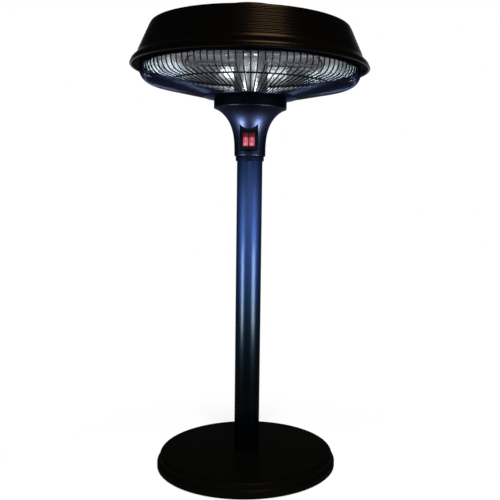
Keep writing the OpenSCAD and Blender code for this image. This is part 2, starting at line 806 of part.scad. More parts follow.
ceiling_screw_end = 4;
module bracket_screws() {
    color("#9a9a9e") for (sx = [-1, 1], sy = [-1, 1])
        translate([sx * bracket_screw[0], sy * bracket_screw[1], ceiling_z - bracket_t])
        screw_up(bracket_t + reflector_t + ceiling_screw_end);
}

// Leads: from each lamp end over the reflector and down the column to the switch or the block
lead_r = lead_d / 2;
cap_end = lamp_len / 2 + cap_len;
over_z = ceiling_z + reflector_t + lead_r + 4;
lead_top = [
    [cap_end, lamp_y, lamp_z], [cap_end + 4, lamp_y - 1, lamp_z + 1], [cap_end + 4, lamp_y - 9, lamp_z + 9],
    [cap_end - 6, lamp_y - 18, lamp_z + 17], [bracket_x - 4, lamp_y - 27, lamp_z + 20],
    [ceiling_hole[0] + 3, 26, lamp_z + 23], [ceiling_hole[0], ceiling_hole[1] + 1, ceiling_z - 8],
    [ceiling_hole[0], ceiling_hole[1], ceiling_z + 1], [ceiling_hole[0] - 7, ceiling_hole[1], over_z],
    [70, 10, over_z], [lead_hole[0] + 7, lead_hole[1], over_z],
    [lead_hole[0], lead_hole[1], ceiling_z + 1], [lead_hole[0], lead_hole[1], ceiling_z - 12],
    [lead_hole[0], lead_hole[1], disc_top + 12], [lead_hole[0], lead_hole[1], flange_top - 6]];
lead_to_block = [[13, 13, tilt_z + 22], [12, 15, tilt_z], [10.5, 15.5, block_z + block_h + 4],
                 [10, 15.5, block_z + block_h]];
tab_top = switch_mid + tab_row + tab_h / 2;
lead_to_switch = [[13, 8, tab_top + 34], [9.5, 6, tab_top + 12], [tab_x, 4, tab_top + 4],
                  [tab_x, 3.8, tab_top]];

function smooth(p, steps) =
    let (last = len(p) - 1)
    concat([for (i = [0 : last - 1], k = [0 : steps - 1])
        let (t = k / steps, a = p[max(i - 1, 0)], b = p[i], c = p[i + 1], d = p[min(i + 2, last)])
        b + t * (c - a) / 2 + t * t * (a - 2.5 * b + 2 * c - 0.5 * d)
          + t * t * t * (1.5 * b - 1.5 * c + 0.5 * d - 0.5 * a)], [p[last]]);

// Tube of n sides swept along points; its frame is carried along without twist
module swept_tube(p, r, n = 8) {
    last = len(p) - 1;
    tangents = [for (i = [0 : last]) unit(p[min(i + 1, last)] - p[max(i - 1, 0)])];
    start = unit(cross(tangents[0], [0.3, 0.2, 0.9]));
    normals = carried(tangents, start, 0, []);
    points = [for (i = [0 : last], k = [0 : n - 1]) let (a = 360 * k / n)
        p[i] + r * (cos(a) * normals[i] + sin(a) * cross(tangents[i], normals[i]))];
    sides = [for (i = [0 : last - 1], k = [0 : n - 1]) let (m = (k + 1) % n)
        each [[i * n + k, i * n + m, (i + 1) * n + m], [i * n + k, (i + 1) * n + m, (i + 1) * n + k]]];
    ends = [for (k = [1 : n - 2]) each [[0, k + 1, k], [last * n, last * n + k, last * n + k + 1]]];
    polyhedron(points = points, faces = [for (f = concat(sides, ends)) [f[0], f[2], f[1]]]);
}
function carried(tangents, v, i, done) =
    i >= len(tangents) ? done
    : let (flat = unit(v - (v * tangents[i]) * tangents[i])) carried(tangents, flat, i + 1, concat(done, [flat]));

module lamp_leads() {
    color("#b3202a") for (sx = [-1, 1], sy = [-1, 1]) {
        route = concat(lead_top, sy > 0 ? lead_to_block : lead_to_switch);
        swept_tube(smooth([for (q = route) [sx * q[0], sy * q[1], q[2]]], 2), lead_r);
    }
}

// Rim and shade

rim_hole_out = 0.2;
rim_screw_end = 3;
module rim_plate() {
    color("#0e0f14") difference() {
        translate([0, 0, guard_top])
            tube(rim_outer_r, reflector_d / 2 + rim_hole_out, rim_plate_t, $fn = 180);
        ring_of(rim_screw_count, rim_screw_r, 0) translate([0, 0, guard_top - over])
            cylinder(d = screw_d + 2 * fit, h = rim_plate_t + 2 * over, $fn = 32);
    }
}

module rim_screws() {
    color("#9a9a9e") ring_of(rim_screw_count, rim_screw_r, 0) translate([0, 0, guard_top])
        screw_up(rim_plate_t + reflector_t + rim_screw_end);
}

wall_lean = 0.448;
flare_low = 6;
flare_high = 20;
lip_out = 5.6;
ribs_low = 22.5;
wall_in = 5.4;
wall_low_r = lip_d / 2 - wall_in;
function lip_flare(h) = h <= flare_low ? lip_out
    : h >= flare_high ? 0
    : lip_out * (1 + cos(180 * (h - flare_low) / (flare_high - flare_low))) / 2;
function rib(h) =
    let (s = (h - ribs_low) / rib_pitch)
    s <= 0 || s >= rib_count ? 0 : rib_h * (1 - cos(360 * s)) / 2;
function wall_r(h) = wall_low_r - wall_lean * h + lip_flare(h) + rib(h);
shoulder_r = 4.5;
wall_steps = 72;
shade_shoulder_w = 4.05;
roof_start_in = 0.9;
roof_sag = 0.25;
shoulder_mid = [wall_r(wall_h) - shade_shoulder_w, wall_top];
roof_start = [shoulder_mid[0] - roof_start_in, wall_top + shoulder_r];
shade_path = concat(
    [[bead_mid_r + shade_t / 2, lip_z + bead_d / 2 - shade_t / 2]],
    [for (i = [0 : wall_steps]) let (h = flare_low - 1 + (wall_h - flare_low + 1) * i / wall_steps)
        [wall_r(h), lip_z + h]],
    [for (i = [1 : 5]) let (a = 90 * i / 6)
        [shoulder_mid[0] + shade_shoulder_w * cos(a), wall_top + shoulder_r * sin(a)]],
    [for (i = [0 : 10]) let (t = i / 10)
        [roof_start[0] + (cap_disc_d / 2 - roof_start[0]) * t,
         roof_start[1] + (roof_top - roof_start[1]) * (t + roof_sag * t * (t - 1))]],
    [[rod_d / 2 + fit, roof_top]]);

module shade() {
    color("#121212") rotate_extrude($fn = 180) union() {
        polygon(sheet(shade_path, shade_t));
        translate([bead_mid_r, lip_z]) circle(d = bead_d, $fn = 32);
    }
}

module roof_spacer() {
    low = ceiling_z + reflector_t;
    color("#a9abb0") translate([0, 0, low]) tube(spacer_d / 2, rod_d / 2 + fit, roof_top - shade_t - low);
}

cap_t = 1.2;
cap_edge = 3;
cap_crown = 3.5;
cap_seat_out = 2;
module top_cap() {
    r = cap_disc_d / 2;
    low = top_of_cap - cap_crown;
    path = concat([[r, roof_top]],
        [for (i = [0 : 6]) let (a = 90 * i / 6)
            [r - cap_edge + cap_edge * cos(a), low - cap_edge + cap_edge * sin(a)]],
        [for (i = [1 : 8]) let (t = i / 8)
            [(r - cap_edge) * (1 - t) + (top_nut_d / 2 + cap_seat_out) * t,
             low + cap_crown * (1 - pow(1 - t, 2))]],
        [[rod_d / 2 + fit, top_of_cap]]);
    color("#121212") revolve(sheet(path, cap_t));
}

nut_side_h = 4.95;
module top_nut() {
    r = top_nut_d / 2;
    dome = top_nut_h - nut_side_h;
    color("#121212") difference() {
        revolve(concat([[0, top_of_cap], [r, top_of_cap], [r, top_of_cap + nut_side_h]],
            [for (i = [1 : 6]) let (a = 90 * i / 6)
                [r * cos(a), top_of_cap + nut_side_h + dome * sin(a)]]), 96);
        translate([0, 0, top_of_cap - over])
            cylinder(d = rod_d + 2 * fit, h = rod_in_nut + 1.5 * over, $fn = 64);
    }
}

base_cover();
base_weight();
base_plate();
rubber_feet();
foot_screws();
cord_inlet();
post_foot();
post_bolts();
post_tube();
post_head();
post_collar();
housing_left();
housing_right();
switch_body();
rocker_left();
rocker_right();
switch_terminals();
wiring_bracket();
terminal_block();
tilt_switch();
centre_rod();
rod_nut();
guard_disc();
disc_screws();
guard_wires();
guard_ring();
guard_rim();
guard_clips();
centre_column();
reflector();
lamp_front();
lamp_rear();
lamp_filaments();
lamp_caps();
lamp_bracket_left();
lamp_bracket_right();
bracket_screws();
lamp_leads();
rim_plate();
rim_screws();
shade();
roof_spacer();
top_cap();
top_nut();
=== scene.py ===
"""Electric tabletop heater: finishes, fine surfaces and a plain studio round the modelled frame.

Metres. +Z is up, the origin is on the floor under the post and the switches face -Y. Every new
surface is a grid or a carried profile worked out with numpy; each function gives its formula.
"""
import json
import math

import bmesh
import bpy
import numpy as np
from mathutils import Matrix, Vector

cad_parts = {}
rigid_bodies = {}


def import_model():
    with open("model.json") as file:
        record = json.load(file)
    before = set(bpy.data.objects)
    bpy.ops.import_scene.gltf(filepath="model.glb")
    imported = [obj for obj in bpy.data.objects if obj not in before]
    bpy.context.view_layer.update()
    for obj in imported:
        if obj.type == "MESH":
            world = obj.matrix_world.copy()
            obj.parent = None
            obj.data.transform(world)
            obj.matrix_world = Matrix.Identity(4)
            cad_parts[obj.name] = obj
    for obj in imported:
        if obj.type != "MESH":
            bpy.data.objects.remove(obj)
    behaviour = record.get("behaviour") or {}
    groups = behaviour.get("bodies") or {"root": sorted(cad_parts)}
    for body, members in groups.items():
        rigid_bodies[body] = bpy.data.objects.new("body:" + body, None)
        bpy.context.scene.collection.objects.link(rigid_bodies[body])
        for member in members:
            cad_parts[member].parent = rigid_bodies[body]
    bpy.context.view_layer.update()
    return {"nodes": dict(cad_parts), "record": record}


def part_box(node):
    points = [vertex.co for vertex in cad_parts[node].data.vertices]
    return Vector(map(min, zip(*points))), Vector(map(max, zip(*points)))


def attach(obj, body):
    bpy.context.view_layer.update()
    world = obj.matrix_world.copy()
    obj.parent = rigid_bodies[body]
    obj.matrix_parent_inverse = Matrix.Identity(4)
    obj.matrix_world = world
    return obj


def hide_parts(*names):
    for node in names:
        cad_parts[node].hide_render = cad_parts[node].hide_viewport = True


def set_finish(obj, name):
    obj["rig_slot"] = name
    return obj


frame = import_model()
NODES = frame["nodes"]

bl_info = {
    "name": "Tabletop heater",
    "version": (1, 0, 0),
    "blender": (4, 5, 0),
    "location": "View3D > Sidebar > Heater",
    "description": "Dresses the tabletop heater with fine surfaces, finishes and a studio",
    "category": "Object",
}


def low(node):
    """Lowest corner of a modelled node, as an array."""
    return np.array(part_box(node)[0])


def high(node):
    """Highest corner of a modelled node, as an array."""
    return np.array(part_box(node)[1])


def length(default, name, description, smallest=0.0):
    """A size in metres that a user may change."""
    return bpy.props.FloatProperty(
        name=name, description=description, default=float(default), min=smallest,
        unit="LENGTH", subtype="DISTANCE", precision=5)


def colour(default, name, description):
    """A linear colour that a user may change."""
    return bpy.props.FloatVectorProperty(
        name=name, description=description, default=default, size=3, min=0.0, max=1.0,
        subtype="COLOR")


def count(default, name, description):
    """A whole number that a user may change."""
    return bpy.props.IntProperty(name=name, description=description, default=default, min=1)


def share(default, name, description, largest=1.0):
    """A plain number that a user may change."""
    return bpy.props.FloatProperty(
        name=name, description=description, default=default, min=0.0, max=largest)


def turn(degrees, name, description):
    """An angle that a user may change."""
    return bpy.props.FloatProperty(
        name=name, description=description, default=math.radians(degrees), subtype="ANGLE")


class HeaterSizes(bpy.types.PropertyGroup):
    """Sizes of the pieces that are made here; those that the frame holds come from its boxes."""
    base_radius: length(high("base_cover")[0], "Base radius", "Radius of the base at its edge")
    upper_radius: length(0.17325, "Base upper radius", "Radius of the base's upper wall")
    band_height: length(0.009, "Base band", "Height of the straight band at the edge")
    step_height: length(0.010, "Base step", "Height of the step above the band")
    shoulder_width: length(0.010, "Shoulder width", "Width of the base's rounded shoulder")
    shoulder_height: length(0.006, "Shoulder height", "Height of the base's rounded shoulder")
    sheet: length(0.0012, "Sheet", "Thickness of the base's and the shade's sheet")
    post_wall: length(0.0015, "Post wall", "Wall of the post")
    wire_count: count(108, "Guard wires", "Number of wires in the guard")
    wire_radius: length(0.0012, "Wire radius", "Radius of a guard wire")
    guard_radius: length(0.212, "Guard radius", "Radius of the guard at its upright rim")
    guard_slope: turn(12.1, "Guard slope", "Slope of the guard's wires")
    guard_bend: length(0.022, "Guard bend", "Radius of the bend below the rim")
    wire_start: length(0.076, "Wire start", "Radius at which the wires begin")
    wire_turn: turn(1.03, "Wire turn", "Turn of the first wire from the front")
    lip_radius: length(high("shade")[0], "Lip radius", "Radius of the shade at its rolled lip")
    bead_radius: length(0.0025, "Bead radius", "Radius of the rolled bead on the lip")
    rib_count: count(8, "Ribs", "Number of ribs round the shade")
    rib_pitch: length(0.0062, "Rib pitch", "Height from one rib to the next")
    rib_depth: length(0.0011, "Rib depth", "Depth of a rib")
    wall_height: length(0.072, "Wall height", "Height of the ribbed wall above the lip")
    wall_lean: share(0.448, "Wall lean", "How far the wall leans in for each metre of height")
    mouth_radius: length(0.206, "Reflector mouth", "Radius of the reflector at its mouth")
    ceiling_radius: length(0.176, "Reflector ceiling", "Radius of the reflector's flat ceiling")
    lamp_radius: length(0.005, "Lamp radius", "Radius of a lamp's quartz tube")
    coil_radius: length(0.0011, "Coil radius", "Radius of a lamp's filament coil")
    coil_turns: count(110, "Coil turns", "Number of turns in a filament coil")
    rocker_width: length(0.0103, "Rocker width", "Width of one rocker")
    rocker_height: length(0.025, "Rocker height", "Height of one rocker")


class HeaterColours(bpy.types.PropertyGroup):
    """Colours of the finishes, linear."""
    enamel: colour((0.0012, 0.0010, 0.0008), "Shade enamel", "Gloss black of the shade")
    base_paint: colour((0.0022, 0.0022, 0.0017), "Base paint", "Satin black of the base")
    # The post's colours are painted light and shade along its height: a painted shadow of the housing
    # at the top, lit navy below it, and painted shade down to near black at the foot.
    post_shaded_top: colour((0.0036, 0.0072, 0.0260), "Post, top", "Navy at the post's top")
    post_lit_peak: colour((0.0120, 0.0205, 0.0560), "Post, bright", "Brightest navy, below the top")
    post_lit_upper: colour((0.0058, 0.0120, 0.0390), "Post, upper", "Navy of the upper part")
    post_shading_middle: colour((0.0012, 0.0046, 0.0145), "Post, middle", "Dark blue of the middle part")
    post_shaded_lower: colour((0.0001, 0.0016, 0.0027), "Post, lower", "Blue black below the middle")
    post_shaded_foot: colour((0.0001, 0.0002, 0.0003), "Post, foot", "Near black of the foot")
    edge: colour((0.25, 0.30, 0.45), "Metallic edge", "Tint of the metallic coats at their edges")
    navy: colour((0.0128, 0.0152, 0.0340), "Housing", "Navy of the moulded housing")
    plate: colour((0.0125, 0.0135, 0.0190), "Plate", "Dark navy of the plate in the guard")
    collar: colour((0.005, 0.008, 0.030), "Collar", "Navy of the collar under the housing")
    # The flange's near black is painted shade on the same moulding as the flare.
    flange: colour((0.0010, 0.0014, 0.0028), "Flange", "Near black of the housing's flange")
    guard: colour((0.0038, 0.0058, 0.0160), "Guard", "Blue black of the guard")
    # The rockers' paler lower part is a painted highlight, and their deep red upper end is painted
    # shade.
    rocker: colour((0.66, 0.115, 0.18), "Rocker", "Paler red of the rockers' lower part")
    rocker_shaded_top: colour((0.14, 0.006, 0.022), "Rocker, top", "Deep red of the rockers' upper end")
    # The marks' pale pink is partly a painted highlight on the rockers' lower ends.
    mark: colour((0.85, 0.72, 0.74), "Mark", "White of the rockers' marks")
    bright: colour((0.92, 0.93, 0.94), "Aluminium", "Polished aluminium of the column")
    dull: colour((0.66, 0.70, 0.71), "Reflector", "Dull aluminium of the reflector")
    zinc: colour((0.52, 0.53, 0.55), "Zinc", "Zinc plated steel")
    ceramic: colour((0.80, 0.77, 0.69), "Ceramic", "Unglazed ceramic")
    lead: colour((0.22, 0.008, 0.010), "Lead", "Red silicone of the leads")
    brass: colour((0.72, 0.50, 0.20), "Brass", "Brass tabs")
    rubber: colour((0.018, 0.018, 0.018), "Rubber", "Rubber of the feet")
    cast: colour((0.13, 0.13, 0.125), "Cast ballast", "Cast iron of the ballast")


class StudioValues(bpy.types.PropertyGroup):
    """Camera and lights of the studio."""
    camera_distance: length(1.386, "Distance", "Distance of the camera from the post's axis")
    camera_height: length(0.5555, "Height", "Height of the camera")
    camera_round: turn(4.5, "Round", "How far the camera stands to the right of the switches")
    camera_pitch: turn(-4.893, "Pitch", "Tilt of the camera")
    camera_yaw: turn(-3.186, "Yaw", "Turn of the camera")
    camera_roll: turn(-0.952, "Roll", "Roll of the camera")
    focal: share(698.23, "Focal length", "Focal length in pixels of the 500 pixel frame", 5000.0)
    centre_x: share(287.44, "Picture centre", "Column of the optical axis in that frame", 500.0)
    fill: share(0.13, "Fill", "Strength of the even light on rough surfaces", 10.0)


# Meshes


def make_piece(name, form, slot, body="root", replaces=(), sharp=35.0, weld=False,
               finish_name=None):
    """Builds a mesh object from a form, which is a pair of points and faces, rides it on a body and
    gives it a finish. Where asked, equal points are welded into one."""
    points, faces = form
    mesh = bpy.data.meshes.new(name)
    mesh.from_pydata(np.asarray(points, float).reshape(-1, 3).tolist(), [], faces)
    if weld:
        welded = bmesh.new()
        welded.from_mesh(mesh)
        bmesh.ops.remove_doubles(welded, verts=welded.verts, dist=1e-7)
        welded.to_mesh(mesh)
        welded.free()
    mesh.validate()
    mesh.shade_smooth()
    mesh.set_sharp_from_angle(angle=math.radians(sharp))
    piece = bpy.data.objects.new(name, mesh)
    bpy.context.scene.collection.objects.link(piece)
    mesh.materials.append(finish_for(finish_name or slot))
    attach(piece, body)
    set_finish(piece, slot)
    if replaces:
        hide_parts(*replaces)


def grid_faces(rows, columns, wrap_rows=False, wrap_columns=False):
    """Quads of a grid of points, row by row; a wrapped direction joins its last line to its first."""
    i = np.arange(rows if wrap_rows else rows - 1)[:, None]
    j = np.arange(columns if wrap_columns else columns - 1)[None, :]
    next_i = (i + 1) % rows
    next_j = (j + 1) % columns
    corners = [i * columns + j, next_i * columns + j, next_i * columns + next_j, i * columns + next_j]
    quads = np.stack([np.broadcast_to(c, (i.size, j.size)) for c in corners], axis=-1)
    return quads.reshape(-1, 4).tolist()


def left_normals(path, closed=False):
    """Unit normals on the left of a flat path, from the mean direction at each point."""
    if closed:
        along = np.roll(path, -1, axis=0) - np.roll(path, 1, axis=0)
    else:
        along = np.gradient(path, axis=0)
    along = along / np.linalg.norm(along, axis=1, keepdims=True)
    return np.stack([-along[:, 1], along[:, 0]], axis=1)


def sheet_outline(path, thickness):
    """Closed outline of a sheet that follows a path: the path, then the path moved to its left."""
    moved = path + thickness * left_normals(path)
    return np.vstack([path, moved[::-1]])


def turned(outline, steps=256):
    """Closed outline (r, z) turned about the Z axis: x = r cos a, y = r sin a, in equal steps of a."""
    a = np.linspace(0.0, 2 * np.pi, steps, endpoint=False)[:, None]
    r = outline[None, :, 0]
    z = np.broadcast_to(outline[None, :, 1], (steps, len(outline)))
    points = np.stack([r * np.cos(a), r * np.sin(a), z], axis=-1)
    next_point = np.roll(outline, -1, axis=0)
    area = np.sum(outline[:, 0] * next_point[:, 1] - next_point[:, 0] * outline[:, 1])
    faces = grid_faces(steps, len(outline), True, True)
    if area < 0:
        faces = [face[::-1] for face in faces]
    return points.reshape(-1, 3), faces


def arc(centre, radius, start, end, steps):
    """Points of an arc about a centre, from one angle in degrees to another."""
    a = np.radians(np.linspace(start, end, steps))
    return np.stack([centre[0] + radius * np.cos(a), centre[1] + radius * np.sin(a)], axis=1)


def tube_along(path, radius, sides, reference):
    """Round tube along a path in space, closed at its ends: each ring is centre +
    radius (cos b n + sin b m), where n is the tangent crossed with a reference direction and m is the
    tangent crossed with n."""
    tangent = np.gradient(path, axis=0)
    tangent = tangent / np.linalg.norm(tangent, axis=1, keepdims=True)
    n = np.cross(tangent, np.asarray(reference, float))
    n = n / np.linalg.norm(n, axis=1, keepdims=True)
    m = np.cross(tangent, n)
    b = np.linspace(0.0, 2 * np.pi, sides, endpoint=False)[None, :, None]
    r = np.broadcast_to(np.asarray(radius, float), (len(path),))[:, None, None]
    points = path[:, None, :] + r * (np.cos(b) * n[:, None, :] + np.sin(b) * m[:, None, :])
    faces = grid_faces(len(path), sides, False, True)
    faces = [face[::-1] for face in faces]
    last = (len(path) - 1) * sides
    faces.append(list(range(sides)))
    faces.append(list(range(last + sides - 1, last - 1, -1)))
    return points.reshape(-1, 3), faces


def joined(parts):
    """Several forms as one."""
    points = []
    faces = []
    first = 0
    for part_points, part_faces in parts:
        points.append(part_points)
        faces.extend([[index + first for index in face] for face in part_faces])
        first += len(part_points)
    return np.vstack(points), faces


def carried_round(form, angles):
    """Copies of a form turned about the Z axis."""
    points, faces = form
    copies = []
    for a in angles:
        c, s = math.cos(a), math.sin(a)
        spin = np.array([[c, s, 0.0], [-s, c, 0.0], [0.0, 0.0, 1.0]])
        copies.append((points @ spin, faces))
    return joined(copies)


def faded(value, start, end):
    """1 before start, 0 after end and a half cosine between."""
    t = np.clip((value - start) / (end - start), 0.0, 1.0)
    return 0.5 * (1.0 + np.cos(np.pi * t))


def across_y(flat, y, raised=0.0):
    """A flat path (x, z) as points in space at one y, raised in z."""
    return np.stack([flat[:, 0], np.full(len(flat), y), flat[:, 1] + raised], axis=1)


def across_x(flat, x):
    """A flat path (y, z) as points in space at one x."""
    return np.stack([np.full(len(flat), x), flat[:, 0], flat[:, 1]], axis=1)


def turned_along_x(outline, steps, y, z):
    """A closed outline (r, x) turned about a line along X at the given y and z."""
    points, faces = turned(outline, steps)
    points = np.stack([points[:, 2], points[:, 0], points[:, 1]], axis=1)
    return points + np.array([0.0, y, z]), faces


SIDE_SHARE = 0.45
LEAST_FILLET = 1e-7
NEARLY_STRAIGHT = 0.02


def filleted(corners, radius, steps=5):
    """Closed outline with an arc in place of each corner. The arc touches both sides at
    radius / tan(half the corner's angle) from the corner, or nearer where a side is short."""
    corners = np.asarray(corners, float)
    rounded = []
    for i, p in enumerate(corners):
        a = corners[i - 1] - p
        b = corners[(i + 1) % len(corners)] - p
        side_a, side_b = np.linalg.norm(a), np.linalg.norm(b)
        a, b = a / side_a, b / side_b
        half = math.acos(float(np.clip(a @ b, -1.0, 1.0))) / 2
        reach = min(radius / math.tan(half), SIDE_SHARE * side_a, SIDE_SHARE * side_b)
        if reach < LEAST_FILLET or np.pi / 2 - half < NEARLY_STRAIGHT:
            rounded.append(p[None])
            continue
        r = reach * math.tan(half)
        centre = p + (a + b) / np.linalg.norm(a + b) * r / math.sin(half)
        u, v = p + a * reach - centre, p + b * reach - centre
        w = np.pi - 2 * half
        t = np.linspace(0.0, 1.0, steps + 1)[:, None]
        rounded.append(centre + (np.sin((1 - t) * w) * u + np.sin(t * w) * v) / math.sin(w))
    return np.vstack(rounded)


def facing_out(points, faces):
    """The faces, all turned over where the closed surface has a negative volume, which is the sum of
    p . (q x s) / 6 over its triangles."""
    fans = np.array([(face[0], q, s) for face in faces for q, s in zip(face[1:-1], face[2:])])
    p, q, s = points[fans.T]
    return faces if np.sum(p * np.cross(q, s)) > 0 else [face[::-1] for face in faces]


def lofted(loops):
    """Closed surface through loops with equal numbers of points, with a flat face on each end."""
    rows, columns = len(loops), len(loops[0])
    points = np.vstack(loops)
    faces = grid_faces(rows, columns, False, True)
    faces.append(list(range(columns))[::-1])
    faces.append([(rows - 1) * columns + i for i in range(columns)])
    return points, facing_out(points, faces)


def rounded_rectangle(width, height, radius, steps=6):
    """Loop of (x, z) points of a rectangle with round corners."""
    x, z = width / 2 - radius, height / 2 - radius
    corners = ((x, z, 0.0), (-x, z, 90.0), (-x, -z, 180.0), (x, -z, 270.0))
    return np.vstack([arc((cx, cz), radius, start, start + 90.0, steps) for cx, cz, start in corners])


def softened(loop, pitch, reach):
    """A closed loop spaced evenly, then averaged over the neighbours within a reach, which rounds its
    corners."""
    closed = np.vstack([loop, loop[:1]])
    along = np.concatenate([[0.0], np.cumsum(np.linalg.norm(np.diff(closed, axis=0), axis=1))])
    steps = int(along[-1] / pitch)
    s = np.linspace(0.0, along[-1], steps, endpoint=False)
    even = np.stack([np.interp(s, along, closed[:, k]) for k in range(2)], axis=1)
    span = max(1, int(reach / pitch))
    return sum(np.roll(even, k, axis=0) for k in range(-span, span + 1)) / (2 * span + 1)


def smooth_route(corners, steps):
    """Smooth curve through points, in a given number of steps for each: between b and c it is
    b + t (c - a) / 2 + t^2 (a - 5 b / 2 + 2 c - d / 2) + t^3 (3 b - 3 c + d - a) / 2."""
    p = np.asarray(corners, float)
    a = np.vstack([p[:1], p[:-2]])
    b, c = p[:-1], p[1:]
    d = np.vstack([p[2:], p[-1:]])
    t = (np.arange(steps) / steps)[None, :, None]
    a, b, c, d = (q[:, None, :] for q in (a, b, c, d))
    curve = (b + t * (c - a) / 2 + t ** 2 * (a - 2.5 * b + 2 * c - 0.5 * d)
             + t ** 3 * (1.5 * b - 1.5 * c + 0.5 * d - 0.5 * a))
    return np.vstack([curve.reshape(-1, 3), p[-1:]])


SIDEWAYS = (0.3, 0.2, 0.9)


def carried_tube(path, radius, sides):
    """Round tube whose ring is carried along the path without twist: each normal is the last one
    less its part along the new tangent."""
    tangent = np.gradient(path, axis=0)
    tangent = tangent / np.linalg.norm(tangent, axis=1, keepdims=True)
    n = np.cross(tangent[0], SIDEWAYS)
    b = np.linspace(0.0, 2 * np.pi, sides, endpoint=False)[:, None]
    loops = []
    for place, t in zip(path, tangent):
        n = n - (n @ t) * t
        n = n / np.linalg.norm(n)
        loops.append(place + radius * (np.cos(b) * n + np.sin(b) * np.cross(t, n)))
    return lofted(loops)


def loose_boxes(node):
    """Low and high corners of each separate solid of a modelled node. Equal points count as one, and
    each point takes the lowest number of its neighbours until nothing changes."""
    mesh = NODES[node].data
    points = np.array([vertex.co for vertex in mesh.vertices])
    _, same = np.unique(np.round(points, 6), axis=0, return_inverse=True)
    same = same.reshape(-1)
    edges = same[np.array([edge.vertices[:] for edge in mesh.edges])]
    label = np.arange(same.max() + 1)
    while True:
        least = np.minimum(label[edges[:, 0]], label[edges[:, 1]])
        new = label.copy()
        np.minimum.at(new, edges[:, 0], least)
        np.minimum.at(new, edges[:, 1], least)
        if np.array_equal(new, label):
            break
        label = new
    group = label[same]
    return [(points[group == g].min(axis=0), points[group == g].max(axis=0)) for g in np.unique(group)]


# Finishes


SURFACE = [("Color", "NodeSocketColor"), ("Roughness", "NodeSocketFloat"),
           ("Height", "NodeSocketFloat")]
BLACK = (0.0, 0.0, 0.0, 1.0)
GROUPS = {}
FINISHES = {}

# Scales of the patterns, in waves for each metre, and the two values between which a pattern sets in.

PATCH_SCALE = 9.0
DUST_SCALE = 420.0
DUST_EDGE = (0.46, 0.72)
FACING_UP = (0.35, 0.95)
DUST_ROUGHNESS = 0.3
LINE_STRETCH = (40.0, 40.0, 900.0)
LINE_SCALE = 2.0
STAIN_SCALE = 16.0
STAIN_EDGE = (0.45, 0.8)
STAIN_ROUGHNESS = 0.25
FLOW_STRETCH = (1.0, 1.0, 0.35)
FLOW_SCALE = 22.0
FLOW_EDGE = (0.3, 0.8)


def with_alpha(rgb):
    """A colour with full alpha."""
    return (rgb[0], rgb[1], rgb[2], 1.0)


def tinted(rgb, factor):
    """A colour made lighter or darker."""
    return tuple(min(1.0, channel * factor) for channel in rgb)


def add(tree, kind, inputs=None, **settings):
    """A new shader node with its settings. An input, by name or number, gets a value, or a socket that
    is joined to it."""
    node = tree.nodes.new("ShaderNode" + kind)
    for name, value in settings.items():
        setattr(node, name, value)
    for name, value in (inputs or {}).items():
        socket = node.inputs[name]
        if isinstance(value, bpy.types.NodeSocket):
            tree.links.new(value, socket)
        else:
            socket.default_value = value
    return node


def calc(tree, operation, a, b=0.0, clamp=False):
    """A Math node's result."""
    return add(tree, "Math", {0: a, 1: b}, operation=operation, use_clamp=clamp).outputs[0]


def mixed(tree, factor, a, b):
    """A blend of two colours."""
    return add(tree, "Mix", {0: factor, 6: a, 7: b}, data_type="RGBA").outputs[2]


def spread(tree, value, low_value, high_value):
    """A value from 0 to 1 stretched to another range."""
    node = add(tree, "MapRange", {"Value": value, "To Min": low_value, "To Max": high_value})
    return node.outputs["Result"]


def measured(tree, value, start, end):
    """How far a value has come from start to end, from 0 to 1."""
    node = add(tree, "MapRange", {"Value": value, "From Min": start, "From Max": end})
    return node.outputs["Result"]


def stepped(tree, value, start, end):
    """A smooth step from 0 to 1 as the value goes from start to end."""
    node = add(tree, "MapRange", {"Value": value, "From Min": start, "From Max": end},
               interpolation_type="SMOOTHSTEP")
    return node.outputs["Result"]


def ramp(tree, value, stops):
    """A colour that runs smoothly through stops, each a place from 0 to 1 and a colour."""
    node = add(tree, "ValToRGB", {"Fac": value})
    node.color_ramp.interpolation = "B_SPLINE"
    elements = node.color_ramp.elements
    while len(elements) < len(stops):
        elements.new(1.0)
    for element, (place, rgb) in zip(elements, stops):
        element.position = place
        element.color = with_alpha(rgb)
    return node.outputs["Color"]


def noise(tree, vector, scale, detail=2.0):
    """A noise value about 0.5 on the given coordinates."""
    return add(tree, "TexNoise", {"Vector": vector, "Scale": scale, "Detail": detail}).outputs["Fac"]


def object_place(tree, scale=(1.0, 1.0, 1.0)):
    """Object coordinates, stretched."""
    place = add(tree, "TexCoord").outputs["Object"]
    return add(tree, "Mapping", {"Vector": place, "Scale": scale}).outputs["Vector"]


def height_on(tree):
    """The height of each point of the object."""
    return add(tree, "SeparateXYZ", {0: add(tree, "TexCoord").outputs["Object"]}).outputs["Z"]


def surface_of(material):
    """A material's Principled shader."""
    return material.node_tree.nodes["Principled BSDF"]


def relief_of(material):
    """A material's Bump node."""
    return next(node for node in material.node_tree.nodes if node.bl_idname == "ShaderNodeBump")


def painted(material, color):
    """Joins a colour to a material's shader and returns the material."""
    material.node_tree.links.new(color, surface_of(material).inputs["Base Color"])
    return material


def new_group(name, inputs, outputs):
    """An empty node group with named float or colour sockets; returns it with its input sockets."""
    group = bpy.data.node_groups.new(name, "ShaderNodeTree")
    for label, default in inputs:
        kind = "NodeSocketFloat" if isinstance(default, float) else "NodeSocketColor"
        socket = group.interface.new_socket(name=label, in_out="INPUT", socket_type=kind)
        socket.default_value = default
    for label, kind in outputs:
        group.interface.new_socket(name=label, in_out="OUTPUT", socket_type=kind)
    entry = group.nodes.new("NodeGroupInput")
    return group, entry.outputs


def close_group(group, results):
    """Joins results to a group's outputs by name."""
    leave = group.nodes.new("NodeGroupOutput")
    for label, socket in results.items():
        group.links.new(socket, leave.inputs[label])
    return group


